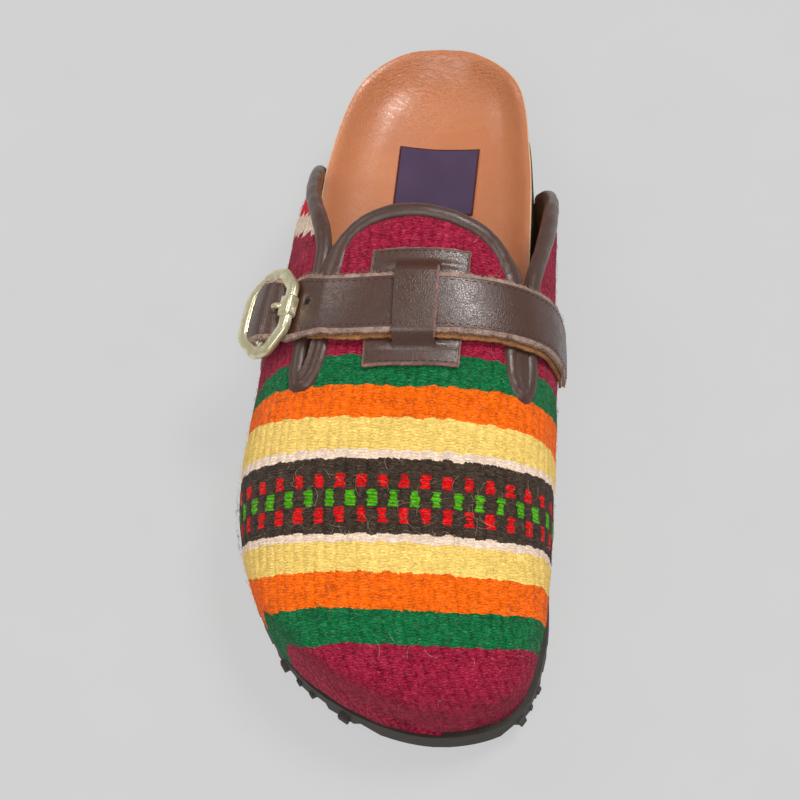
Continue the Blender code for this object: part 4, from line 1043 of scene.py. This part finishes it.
strap_share = np.linspace(*STRAP_ENDS, STRAP_ROWS)
strap_along, strap_height = strap_line(strap_share)
strap_middle = strap_height + BACKING_THICK + GAP + STRAP_THICK / 2
tail_path = in_buckle([a for a, c in TAIL], 0.0, [c for a, c in TAIL])
edges = []
for side, halves in ((-1.0, TAIL_TOE_SIDE), (1.0, TAIL_HEEL_SIDE)):
    body = on_upper(strap_along + side * STRAP_WIDTH / 2, strap_share, strap_middle)
    end = tail_path + axis_b * side * np.array(halves)[:, None]
    edges.append(np.vstack([body, path_through(np.vstack([body[-1:], end]), TAIL_ROWS)[1:]]))
left, right = edges
strap_out = unit(np.cross(np.gradient((left + right) / 2, axis=0), right - left))
strap_out *= np.sign(strap_out[0].dot(np.array([1.0, 0.0, 0.5])))
hole_row = int(np.abs(((left + right) / 2 - buckle_origin) @ axis_a + HOLE_BEFORE_BAR).argmin())
hole_spot = left[hole_row] * (1 - HOLE_ACROSS) + right[hole_row] * HOLE_ACROSS


def hand_cut(way, seed):
    """The small wander of a hand-cut edge, in millimetres."""
    long_waves = 0.17 * np.sin(way * 0.27 + seed) + 0.12 * np.sin(way * 0.71 + 2 * seed)
    return long_waves + 0.15 * np.sin(way * 1.9 - seed)


def rimmed(u, columns, width, rim):
    """Spreads a grid's columns so that the first and the last are as wide as the raw rim."""
    at, inner = u * columns, (width - 2 * rim) / (columns - 2)
    far = np.where(at >= columns - 1, width - (columns - at) * rim, rim + (at - 1) * inner)
    return np.where(at <= 1, at * rim, far) / width


def strap_place(u, v, w):
    row = np.rint(v * (len(left) - 1)).astype(int)
    rim = np.abs(u - 0.5) > 0.49
    u = rimmed(u, STRAP_COLUMNS, STRAP_WIDTH, RIM_WIDE)
    u = u + np.where(rim, np.sign(u - 0.5) * hand_cut(row, 3.0 * u), 0.0) / STRAP_WIDTH
    flat = left[row] * (1 - u)[:, None] + right[row] * u[:, None]
    at = np.minimum(row, STRAP_ROWS - 1)
    arch = on_upper(strap_along[at] + (u - 0.5) * STRAP_WIDTH, strap_share[at], strap_middle[at])
    arched = clipped((STRAP_ROWS - row) / ARCH_FADE)[:, None]
    base = arch * arched + flat * (1 - arched)
    dent = HOLE_DEPTH * hump(np.linalg.norm(base - hole_spot, axis=1), 0.0, DENT_REACH)
    top = STRAP_CROWN * (1 - (2 * u - 1) ** 2) - np.where(rim, EDGE_DROP, 0.0) - dent
    return base + strap_out[row] * ((w + 0.5) * STRAP_THICK + np.where(w > -0.5, top, 0.0))[:, None]


def raw_rim(bm, columns, rows=None):
    """Gives the raw finish to the outermost cells of the top side."""
    for face in bm.faces:
        centre = face.calc_center_median()
        rim = min(centre.x, 1 - centre.x) * columns < 1
        if rows:
            rim = rim or min(centre.y, 1 - centre.y) * rows < 1
        if rim and centre.z > -0.1:
            face.material_index = 1


bm = thickened(flat_grid(STRAP_COLUMNS, len(left) - 1))
raw_rim(bm, STRAP_COLUMNS)
moved(bm, strap_place)
piece("strap_leather", bm, [brown, brown_edge], ["strap"])

# %% [markdown]
# One spare hole shows beside the buckle. The strap is dented there, and a thin dark disc lies in the dent: painted
# shade that stands for the hole's dark inside.

# %% Punched hole, drawn as a disc of painted shade
hole_shade_finish, start = new_finish("painted_hole_shade")
fluff = noise(object_mm(start), 0.4)
finish_with(start, fluff.between(dye(30, 20, 16), dye(14, 9, 8)), 0.9)
bm = bmesh.new()
turn_out = Vector(strap_out[hole_row]).to_track_quat("Z", "Y").to_matrix().to_4x4()
middle = hole_spot + strap_out[hole_row] * (STRAP_THICK / 2 + STRAP_CROWN - HOLE_DEPTH / 2)
bmesh.ops.create_cone(bm, cap_ends=True, segments=16, radius1=HOLE_RADIUS * MM, radius2=HOLE_RADIUS * MM,
                      depth=0.3 * MM, matrix=Matrix.Translation(Vector(scaled(middle))) @ turn_out)
piece("strap_hole", bm, [hole_shade_finish], merge=0.001)

# %% [markdown]
# The backing is a strip of its own. It sits a little nearer the toe than the strap, so that its edge shows there.

# %% Strap backing
BACKING_SHIFT = 0.9
BACKING_ENDS, BACKING_SINKS, BACKING_SINK = (0.322, 0.905), 0.356, 0.9    # it sinks a little below the buckle
bm = thickened(flat_grid(16, 130))


def backing_place(u, v, w):
    first, last = BACKING_ENDS
    share = first + (last - first) * v
    along, height = strap_line(share)
    height = height - BACKING_SINK * clipped((BACKING_SINKS - share) / (BACKING_SINKS - first))
    wave = hand_cut(share * 230.0, 1.0 + 2 * u) * np.sign(u - 0.5) * (np.abs(u - 0.5) > 0.49)
    along = along + (u - 0.5) * BACKING_WIDTH - BACKING_SHIFT + wave
    return on_upper(along, share, height + (w + 1) * BACKING_THICK)


moved(bm, backing_place)
piece("strap_lining", bm, [tan_back, tan_back], ["strap_backing"])

# %% [markdown]
# The keeper is a patch with two slits. The strip between the slits passes over the strap and the wings lie under
# it. Columns of the grid are set exactly on the slits' edges, so deleting cells cuts them cleanly. The strip
# starts to climb a little before the slits and pulls the wings up with it, like a tent.

# %% Keeper
KEEPER_SHARE, KEEPER_ALONG = (0.430, 0.606), (147.3, 191.8)
KEEPER_BAND, KEEPER_SLIT_ALONG = (0.481, 0.555), (156.4, 183.6)
KEEPER_SLIT, KEEPER_THICK, KEEPER_HEIGHT = 0.3, 1.3, 0.5
BAND_HEIGHT, BAND_RAMP, BAND_START = 5.7, 7.0, 4.0
BAND_LEAN, WING_REACH, BAND_RIM = 0.045, 9.0, 0.8   # the band is turned a little, and the wings give way
TENT_HEIGHT, TENT_REACH, TENT_START = 0.85, 5.0, 2.0
KEEPER_WANDER, RIM_DROP = 0.6, 0.45
KEEPER_CELLS, KEEPER_ROWS = (14, 1, 22, 1, 14), (12, 36, 12)

slit = KEEPER_SLIT / FLAT_GIRTH
stops_u = (KEEPER_SHARE[0], KEEPER_BAND[0] - slit, *KEEPER_BAND, KEEPER_BAND[1] + slit, KEEPER_SHARE[1])
stops_v = (KEEPER_ALONG[0], *KEEPER_SLIT_ALONG, KEEPER_ALONG[1])


def grid_lines(stops, counts):
    """Lines of a grid that has a given number of cells between every two stops."""
    spans = [np.linspace(a, b, n, endpoint=False) for a, b, n in zip(stops, stops[1:], counts)]
    return np.r_[np.concatenate(spans), stops[-1]]


line_u, line_v = grid_lines(stops_u, KEEPER_CELLS), grid_lines(stops_v, KEEPER_ROWS)


def keeper_lines(u, v):
    share = line_u[np.rint(u * (len(line_u) - 1)).astype(int)]
    return share, line_v[np.rint(v * (len(line_v) - 1)).astype(int)]


def middle_of(face):
    corners = np.array([vert.co[:2] for vert in face.verts])
    return [values.mean() for values in keeper_lines(*corners.T)]


bm = flat_grid(len(line_u) - 1, len(line_v) - 1)
cut = []
for face in bm.faces:
    share, along = middle_of(face)
    in_slit = stops_u[1] < share < stops_u[2] or stops_u[3] < share < stops_u[4]
    if in_slit and stops_v[1] < along < stops_v[2]:
        cut.append(face)
bmesh.ops.delete(bm, geom=cut, context="FACES")
thickened(bm)
raw_rim(bm, len(line_u) - 1, len(line_v) - 1)
for face in bm.faces:
    share, along = middle_of(face)
    if stops_u[3] - BAND_RIM / FLAT_GIRTH < share < stops_u[3] and stops_v[1] < along < stops_v[2]:
        face.material_index = 1


def keeper_place(u, v, w):
    share, along = keeper_lines(u, v)
    band = (share > KEEPER_BAND[0] - 1e-4) & (share < KEEPER_BAND[1] + 1e-4)
    ends = np.minimum(along - KEEPER_SLIT_ALONG[0], KEEPER_SLIT_ALONG[1] - along)
    climb = clipped((ends + BAND_START) / BAND_RAMP)
    climb = climb * climb * (3 - 2 * climb)
    beside = np.maximum(KEEPER_BAND[0] - share, share - KEEPER_BAND[1]) * FLAT_GIRTH
    tent = TENT_HEIGHT * np.exp(-np.maximum(beside, 0.0) / TENT_REACH) * clipped(-ends / TENT_START)
    height = KEEPER_HEIGHT + np.where(band, climb, climb * tent) * (BAND_HEIGHT - KEEPER_HEIGHT)
    lean = BAND_LEAN * (np.mean(KEEPER_ALONG) - along) * clipped(1 - beside / WING_REACH)
    share = share + lean / FLAT_GIRTH
    at_side, at_end = np.abs(u - 0.5) > 0.499, np.abs(v - 0.5) > 0.499
    cut_line = KEEPER_WANDER * hand_cut(along * 1.3 + share * 300.0, 2.0)
    share = share + np.where(at_side, cut_line * np.sign(u - 0.5), 0.0) / FLAT_GIRTH
    along = along + np.where(at_end, cut_line * np.sign(v - 0.5), 0.0)
    drop = np.where((at_side | at_end) & (w > -0.5), RIM_DROP, 0.0)
    return on_upper(along, share, height + KEEPER_THICK * (w + 1) - drop)


moved(bm, keeper_place)
piece("keeper_patch", bm, [brown, keeper_edge], ["keeper"])

# %% [markdown]
# Strap and keeper are sewn with a dark thread close to the raw edge. Each stitch is a short thick strand whose
# ends dive into the leather.

# %% Stitches
thread, start = new_finish("dark_thread")
ply = noise(object_mm(start), 0.5)
finish_with(start, ply.between(dye(96, 54, 48), dye(52, 28, 25)), 0.8, ply, 0.1)


STITCH_LONG, STITCH_LIFT, STITCH_SUNK, THREAD_RADIUS = 1.9, 0.16, 0.10, 0.16


def stitched(line, up, pitch=2.7):
    """Paths of the stitches along a line of points, with up the way out of the leather."""
    run = run_along(line)
    arch = STITCH_LIFT * np.sin(np.linspace(0.0, np.pi, 5)) - STITCH_SUNK
    paths = []
    for begin in np.arange(pitch / 2, run[-1] - STITCH_LONG, pitch):
        at = begin + np.linspace(0.0, STITCH_LONG, 5)
        paths.append(resampled(line, run, at) + resampled(up, run, at) * arch[:, None])
    return paths


ways = np.linspace(0.0, 0.86, 400)
full, none = np.ones(400), np.zeros(400)
strap_rows = np.rint(ways * (len(left) - 1)).astype(int)
paths = []
for u in (0.10, 0.90):
    paths += stitched(strap_place(full * u, ways, none), strap_out[strap_rows])
strands("strap_stitches", paths, THREAD_RADIUS, 5, thread)

SEAM, SEAM_ENDS = 1.5, (157.0, 183.0)
low_share, high_share = KEEPER_SHARE[0] + SEAM / FLAT_GIRTH, KEEPER_SHARE[1] - SEAM / FLAT_GIRTH
low_along, high_along = KEEPER_ALONG[0] + SEAM, KEEPER_ALONG[1] - SEAM
paths = []
for end, edge in zip(SEAM_ENDS, (low_along, high_along)):
    corners = [(low_share, end), (low_share, edge), (high_share, edge), (high_share, end)]
    for (share_a, along_a), (share_b, along_b) in zip(corners, corners[1:]):
        share, along = np.linspace(share_a, share_b, 60), np.linspace(along_a, along_b, 60)
        up = on_upper(along, share, 1.0) - on_upper(along, share, 0.0)
        paths += stitched(on_upper(along, share, KEEPER_HEIGHT + KEEPER_THICK), up, 2.6)
strands("keeper_stitches", paths, THREAD_RADIUS, 5, thread)

# %% [markdown]
# The strap's raw edges are frayed. Short fibres stick out of them, each with a random lean and a small bend.

# %% Frayed fibres
FIBRES, FIBRE_RADIUS, FIBRE_ROOT = 480, 0.08, 0.2
FIBRE_UP = np.array([0.0, 0.0, 0.3])


def frayed(spots, middle):
    """Paths of fibres that leave a row of spots, away from the piece's middle."""
    chosen = rng.integers(0, len(spots), FIBRES)
    way = unit((spots - middle)[chosen]) + rng.normal(0.0, 0.45, (FIBRES, 3)) + FIBRE_UP
    reach, bend = way * rng.uniform(0.4, 1.2, (FIBRES, 1)), rng.normal(0.0, 0.25, (FIBRES, 3))
    return [spots[chosen] + reach * (step - FIBRE_ROOT) + bend * step ** 2 for step in (0.0, 0.5, 1.0)]


mid_line = strap_place(full * 0.5, ways, none)
fibres = [frayed(strap_place(full * u, ways, none), mid_line) for u in (0.0, 1.0)]
paths = np.stack(np.concatenate(fibres, axis=1), axis=1)
strands("frayed_fibres", paths, FIBRE_RADIUS, 3, brown_edge)

# %% [markdown]
# ## Buckle
# The buckle is cast brass with a worn, slightly greenish antique finish: a frame like a rounded octagon, a bar
# across its middle, a sleeve on its front bar, and a prong that comes up through the strap.

# %% Antique brass
brass, start = new_finish("antique_brass")
spot = object_mm(start)
wear = noise(spot, 3.0, 3.0, 0.55)
age = noise(spot, 0.9, 3.0, 0.6)
tarnish = (wear * 1.2 + age * 0.4 - 0.40).over(0.5, 0.35)
colour = tarnish.between(dye(246, 238, 204), dye(206, 190, 140))
finish_with(start, colour, tarnish * 0.16 + 0.24, wear, 0.06, Metallic=0.8)
print("brass made")

# %% [markdown]
# The frame is a tube along a closed octagon whose corners are smoothed, with a flattened section like a cast bar.

# %% Buckle frame
BAR_WIDE, BAR_THICK, CORNER, CURVE, SQUARENESS = 5.0, 3.2, 7.4, 0.9, 0.6
half_a, half_b = BUCKLE_LENGTH / 2, BUCKLE_WIDTH / 2
octagon = [(-half_a, -half_b + CORNER), (-half_a + CORNER, -half_b), (half_a - CORNER, -half_b),
           (half_a, -half_b + CORNER), (half_a, half_b - CORNER), (half_a - CORNER, half_b),
           (-half_a + CORNER, half_b), (-half_a, half_b - CORNER)]
loop = np.concatenate([np.linspace(octagon[i], octagon[(i + 1) % 8], 12, endpoint=False) for i in range(8)])
for _ in range(3):
    loop = (np.roll(loop, 1, axis=0) + np.roll(loop, -1, axis=0)) / 4 + loop / 2
loop = np.vstack([loop, loop[:1]])
ring = in_buckle(loop[:, 0] + half_a, loop[:, 1], -CURVE * (loop[:, 1] / half_b) ** 2 + CURVE / 2)
ring_count = len(ring) - 1
ring_side = unit(np.cross(np.roll(ring[:-1], -1, axis=0) - np.roll(ring[:-1], 1, axis=0), axis_c))


def squared(value):
    """Makes a circle's sine or cosine into that of a rounded square."""
    return np.sign(value) * np.abs(value) ** SQUARENESS


def ring_place(u, v, w):
    row = np.rint(v * ring_count).astype(int) % ring_count
    angle = 2 * np.pi * u
    wide, tall = squared(np.cos(angle)) * BAR_WIDE / 2, squared(np.sin(angle)) * BAR_THICK / 2
    return ring[row] + ring_side[row] * wide[:, None] + axis_c * tall[:, None]


bm = moved(flat_grid(TUBE_SIDES, ring_count), ring_place)
piece("buckle_ring", bm, [brass], ["buckle_frame"])

# %% [markdown]
# The sleeve, the bar and the prong are simple solids: a bevelled block, a cylinder, and a tapered tube.

# %% Sleeve, bar and prong
SLEEVE_SIZE, SLEEVE_LIFT, SLEEVE_ROUND = (5.9, 8.4, 4.7), 0.5, 1.1
CENTRE_BAR_RADIUS, CENTRE_BAR_ROUND = 1.2, 0.3
PRONG = [(9.9, 0.6), (7.4, 0.9), (6.2, 2.0), (5.0, 3.0), (3.6, 3.1), (2.2, 2.2)]   # from the bar to its tip
PRONG_RADIUS, PRONG_TIP = 1.05, 0.02

to_buckle = Matrix([[*row, 0.0] for row in np.stack([axis_a, axis_b, axis_c], axis=1)] + [[0.0, 0.0, 0.0, 1.0]])
to_buckle = Matrix.Translation(Vector(scaled(buckle_origin))) @ to_buckle @ Matrix.Scale(MM, 4)

bm = bmesh.new()
bmesh.ops.create_cube(bm, size=1.0)
bmesh.ops.scale(bm, vec=SLEEVE_SIZE, verts=bm.verts)
bmesh.ops.translate(bm, vec=(0.0, 0.0, SLEEVE_LIFT), verts=bm.verts)
bmesh.ops.bevel(bm, geom=bm.edges[:], offset=SLEEVE_ROUND, segments=4, profile=0.5, affect="EDGES", material=-1)
bmesh.ops.transform(bm, matrix=to_buckle, verts=bm.verts)
piece("buckle_sleeve", bm, [brass], merge=0.001)

bm = bmesh.new()
bmesh.ops.create_cone(bm, cap_ends=True, segments=20, radius1=CENTRE_BAR_RADIUS, radius2=CENTRE_BAR_RADIUS,
                      depth=BUCKLE_WIDTH,
                      matrix=Matrix.Translation((half_a, 0.0, 0.0)) @ Matrix.Rotation(math.pi / 2, 4, "X"))
bmesh.ops.transform(bm, matrix=to_buckle, verts=bm.verts)
piece("buckle_bar", bm, [brass], merge=0.001, bevel=CENTRE_BAR_ROUND)

prong_line = path_through(PRONG, 40)
prong_path = in_buckle(prong_line[:, 0], 0.0, prong_line[:, 1])


def prong_profile(u, v):
    angle = 2 * np.pi * u
    size = PRONG_RADIUS * clipped((1.0 - v) / 0.05) ** 0.5 + PRONG_TIP
    return size * np.cos(angle), size * np.sin(angle)


bm = tube(prong_path, prong_profile, axis_b)
piece("buckle_tongue", bm, [brass], ["buckle_prong"])

# %% [markdown]
# A short leather tab, the chape, holds the buckle to the shoe's outer side. It is a strip that comes down from the
# centre bar and is sewn to the cloth.

# %% Chape
CHAPE = np.array([(0.258, 2.6), (0.235, 1.2), (0.205, 0.1), (0.150, 0.1), (0.090, 0.1)])   # share and height
CHAPE_WIDTH, CHAPE_TOE_SIDE, CHAPE_THICK = 13.0, 5.0, 0.8


def chape_place(u, v, w):
    share, height = (np.interp(v * 4, np.arange(5), column) for column in CHAPE.T)
    rim = (np.abs(u - 0.5) > 0.49) & (w > -0.5)
    return on_upper(BUCKLE_ALONG - CHAPE_TOE_SIDE + u * CHAPE_WIDTH, share,
                    height + (w + 1) * CHAPE_THICK - np.where(rim, RIM_DROP, 0.0))


bm = moved(thickened(flat_grid(22, 48)), chape_place)
piece("chape", bm, [brown, brown], ["buckle_chape"])
ways = np.linspace(0.06, 0.96, 100)
paths = []
for u in (0.11, 0.89):
    line = chape_place(np.full(100, u), ways, np.zeros(100))
    paths += stitched(line, line - chape_place(np.full(100, u), ways, np.full(100, -0.5)))
strands("chape_stitches", paths, THREAD_RADIUS, 5, thread)

# %% [markdown]
# ## Footbed
# The insole is a tan leather pressed into a bowl. Its rim is rolled and its cut edge is almost cream. Under it is
# cork, seen at the heel's sides, and a rubber sole with grooves right across.

# %% Insole leather
tan, start = new_finish("insole_leather")
spot = object_mm(start)
pores = cells(spot, 0.8, "DISTANCE_TO_EDGE")
cloud = noise(spot, 30.0, 3.0)
wrinkle = noise(spot, 5.0, 5.0, 0.65)
folds = (wrinkle - 0.5).math("ABSOLUTE").over(0.02, 0.03)
# Pore edges and creases are painted darker as shade; the slow cloud is the leather's own uneven tone.
shade_and_tone = (cloud - 0.35) * 0.9 + (1.0 - folds) * 0.12 + (1.0 - pores.over(0.05, 0.05)) * 0.10
colour = shade_and_tone.between(dye(201, 124, 77), dye(174, 98, 56))
x, y, z = split(spot)
heel_creases = noise(start.node("ShaderNodeCombineXYZ", None, {0: x * 0.5, 1: y, 2: z}), 2.4, 3.0, 0.6)
heel_creases = (heel_creases - 0.5).math("ABSOLUTE").over(0.04, 0.04) * y.over(118.0, 14.0)
roughness = (cloud - 0.5) * 0.2 + 0.42 - y.over(100.0, 20.0) * 0.15      # the heel is polished by wear
height = pores.over(0.05, 0.06) * 0.3 + folds * 0.4 + heel_creases * 1.2
finish_with(start, colour, roughness, height, 0.13, Coat_Weight=y.over(104.0, 14.0) * 0.35,
            Coat_Roughness=0.26, Specular_IOR_Level=0.6)
pale_edge = raw_edge("insole_raw_edge", dye(240, 210, 168), dye(206, 162, 118))
print("insole finishes:", tan.name, pale_edge.name)

# %% [markdown]
# Cork is a pack of small grains. Cells give each grain its own tone, and pits are left between them.

# %% Cork
cork, start = new_finish("cork")
spot = object_mm(start)
grains = cells(spot, 2.2, output=1)
grain_tone = start.node("ShaderNodeSeparateColor", None, {0: grains})
rims = cells(spot, 2.2, "DISTANCE_TO_EDGE").over(0.05, 0.05)
pits = noise(spot, 1.3, 3.0, 0.6).over(0.62, 0.05)
colour = (1.0 - rims * (grain_tone * 0.7 + 0.3)).between(dye(176, 130, 86), dye(96, 64, 40))
colour = (pits * 0.8).between(colour, dye(62, 42, 28))
finish_with(start, colour, 0.85, rims * 0.5 - pits * 0.6 + grain_tone * 0.3, 0.25)
print("finish:", cork.name)

# %% [markdown]
# The rubber is a dusty black, with slow noise for the dust and fine noise for the moulded surface.

# %% Rubber
rubber, start = new_finish("rubber")
spot = object_mm(start)
dust = noise(spot, 9.0, 4.0, 0.6)
speck = noise(spot, 0.7, 3.0, 0.6)
colour = (dust * 0.8 + speck * 0.4 - 0.25).between(dye(50, 46, 42), dye(84, 79, 73))
finish_with(start, colour, dust * 0.2 + 0.55, speck, 0.12, Specular_IOR_Level=0.35)
print("finish:", rubber.name)

# %% [markdown]
# Insole and cork are grids with the footbed's outline. Columns crowd towards the edge, where the form turns. On
# the real shoe the leather is pressed into the heel cup, so a slight rounded rim stands up all round it.

# %% Insole and cork
FOOT_SIDES = two_sides(FINE_OUTLINE)
ROLL = 0.2      # how far the rim stands up over the hollow beside it


def crowded(u):
    return 0.3 * u + 0.7 * (1 - np.cos(np.pi * u)) / 2


def foot_rows(v):
    low, high = FOOT_SIDES[0][0, 1], FOOT_SIDES[0][-1, 1]
    return low + (high - low) * (0.25 * v + 0.75 * (1 - np.cos(np.pi * v)) / 2)


def footbed_layer(heights, columns, count, pale_rim=False):
    bm = thickened(flat_grid(columns, count))
    if pale_rim:
        raw_rim(bm, columns)

    def place(u, v, w):
        y = foot_rows(v)
        x = across(FOOT_SIDES, y, crowded(u))
        return np.stack([x, y, heights(x, y, w)], axis=1)

    return moved(bm, place)


def insole_height(x, y):
    inside_by = edge_distance(x, y)
    roll = ROLL * (hump(inside_by, 3.6, 2.2) - hump(inside_by, 9.5, 3.4))
    return footbed_height(x, y) + roll * clipped((y - 5.0) / 40.0)


bm = footbed_layer(lambda x, y, w: insole_height(x, y) + w * INSOLE_THICK, 64, 130, pale_rim=True)
piece("insole_sheet", bm, [tan, pale_edge], ["insole"], merge=0.05)
bm = footbed_layer(lambda x, y, w: np.where(w > -0.5, footbed_height(x, y) - INSOLE_THICK - 2 * GAP,
                                            outsole_top(y) + GAP), 24, 90)
piece("cork_bed", bm, [cork, cork], ["midsole"], merge=0.05)

# %% [markdown]
# The sole is a slab whose underside is cut by straight grooves. Rows are placed on the grooves' edges, so that
# each groove is a real channel through the sole and shows at its side. The slab is a little narrower at two
# places, the inner waist and the outer toe.

# %% Rubber sole
GROOVE_PITCH, GROOVE_DEPTH, GROOVE_HALF, GROOVE_DRAFT = 11.5, 3.0, 1.7, 0.8
GROOVE_SPANS = ((-139.0, -8.0), (56.0, 138.0))
WAIST_IN, WAIST_Y, WAIST_LONG = 1.0, 75.0, 30.0
TOE_IN, TOE_Y, TOE_LONG = 1.3, -98.0, 14.0
outline_x, outline_y = FOOTBED_OUTLINE.T
narrower = WAIST_IN * hump(outline_y, WAIST_Y, WAIST_LONG) * (outline_x > 10.0)
narrower = narrower + TOE_IN * hump(outline_y, TOE_Y, TOE_LONG) * (outline_x < 0.0)
sole_outline = grown(FOOTBED_OUTLINE, sole_value("ledge", outline_y) - narrower)
sole_sides = two_sides(sole_outline)
groove_rows = {}
for first, last in GROOVE_SPANS:
    for middle in np.arange(first, last, GROOVE_PITCH):
        for side in (-1, 1):
            groove_rows[middle + side * (GROOVE_HALF + GROOVE_DRAFT)] = 0.0
            groove_rows[middle + side * GROOVE_HALF] = GROOVE_DEPTH
low, high = sole_sides[0][0, 1], sole_sides[0][-1, 1]
tips = np.array([0.0, 0.1, 0.4, 0.9, 1.6, 2.5, 3.6, 5.0])
middle_rows = [y for y in groove_rows if low + 6 < y < high - 6] + list(np.arange(6.0, 50.0, 3.0))
sole_y = np.array(sorted([*(low + tips), *middle_rows, *(high - tips)]))
sole_depth = np.array([groove_rows.get(y, 0.0) for y in sole_y])
bm = thickened(flat_grid(8, len(sole_y) - 1))


def sole_place(u, v, w):
    row = np.rint(v * (len(sole_y) - 1)).astype(int)
    y = sole_y[row]
    return np.stack([across(sole_sides, y, u), y,
                     np.where(w > -0.5, outsole_top(y), underside(y) + sole_depth[row])], axis=1)


moved(bm, sole_place)
piece("rubber_sole", bm, [rubber, rubber], ["outsole"], merge=0.3)

# %% [markdown]
# The sole was trimmed roughly, and small tags of rubber were left along its lower edge at the toe. Each is a small
# bevelled block, pushed out of square, half sunk in the sole's side.

# %% Rubber tags
TAGS = (   # y of the tag, side (0 outer, 1 inner), how wide, how far it stands out, height over the floor line
    (-112.6, 0, 4.0, 1.5, 3.2), (-119.9, 0, 2.2, 0.7, 2.4), (-124.7, 0, 2.6, 0.8, 2.4), (-134.3, 0, 4.2, 1.7, 2.6),
    (-122.8, 1, 2.4, 0.9, 2.4), (-129.5, 1, 2.0, 0.4, 2.0), (-135.5, 1, 3.0, 1.3, 2.4))
TAG_LIFT, TAG_TURN, TAG_WARP, TAG_ROUND = 0.8, 0.2, 0.25, 0.3
rng_tags = random.Random(11)
bm = bmesh.new()
for y, side, wide, out, tall in TAGS:
    line = sole_sides[side]
    at = int(np.abs(line[:, 1] - y).argmin())
    way = line[min(at + 4, len(line) - 1)] - line[max(at - 4, 0)]
    spot = Vector((*line[at], float(underside(y)) + tall / 2 + TAG_LIFT))
    heading = Matrix.Rotation(math.atan2(way[1], way[0]) + rng_tags.uniform(-TAG_TURN, TAG_TURN), 4, "Z")
    made = bmesh.ops.create_cube(bm, size=1.0)["verts"]
    bmesh.ops.scale(bm, vec=(wide, 2 * out, tall), verts=made)
    for vert in made:
        vert.co += Vector([rng_tags.uniform(-TAG_WARP, TAG_WARP) for _ in range(3)])
    bmesh.ops.transform(bm, matrix=Matrix.Translation(spot) @ heading, verts=made)
bmesh.ops.bevel(bm, geom=bm.edges[:], offset=TAG_ROUND, segments=2, profile=0.5, affect="EDGES", material=-1)
moved(bm, lambda x, y, z: np.stack([x, y, z], axis=1))
piece("rubber_tags", bm, [rubber])

# %% [markdown]
# ## Woven label
# A square patch of plain purple satin cloth is glued to the heel of the insole.

# %% Label
LABEL_MIDDLE, LABEL_SIDE, LABEL_TURN = (9.8, 87.0), 31.0, math.radians(-4.2)
LABEL_LIFT, LABEL_THICK, LABEL_DROP, LABEL_CELLS = 1.5 * GAP, 0.4, 0.2, 48
WARP, WEFT = 0.42, 0.55
satin, start = new_finish("purple_satin")
spot = object_mm(start)
x, y = split(spot)[:2]
warps = x / WARP
threads = warps.part() - 0.5
picks = (y / WEFT + warps.math("FLOOR") * 0.5).part() - 0.5
relief = 1.0 - threads * threads * 2.5 - picks * picks * 1.5
shine = noise(spot, 12.0, 2.0)
# The colour is painted lighter on the threads' crowns and darker between them, painted highlight and shade, and the
# slow noise shine adds a painted sheen.
colour = (relief * 0.5 + shine * 0.6 - 0.2).between(dye(56, 38, 66), dye(90, 68, 98))
finish_with(start, colour, 0.55, relief, 0.12, Sheen_Weight=0.2, Sheen_Roughness=0.4, Specular_IOR_Level=0.3)
cut_edge = raw_edge("label_cut_edge", dye(96, 48, 52), dye(52, 28, 36))
bm = thickened(flat_grid(LABEL_CELLS, LABEL_CELLS))
raw_rim(bm, LABEL_CELLS, LABEL_CELLS)


def label_place(u, v, w):
    rim = np.maximum(np.abs(u - 0.5), np.abs(v - 0.5)) > 0.499
    a, b = (u - 0.5) * LABEL_SIDE, (v - 0.5) * LABEL_SIDE
    x = LABEL_MIDDLE[0] + a * math.cos(LABEL_TURN) - b * math.sin(LABEL_TURN)
    y = LABEL_MIDDLE[1] + a * math.sin(LABEL_TURN) + b * math.cos(LABEL_TURN)
    above = LABEL_LIFT + (w + 1) * LABEL_THICK - LABEL_DROP * (rim & (w > -0.5))
    return np.stack([x, y, insole_height(x, y) + above], axis=1)


moved(bm, label_place)
piece("label_patch", bm, [satin, cut_edge], ["label"])
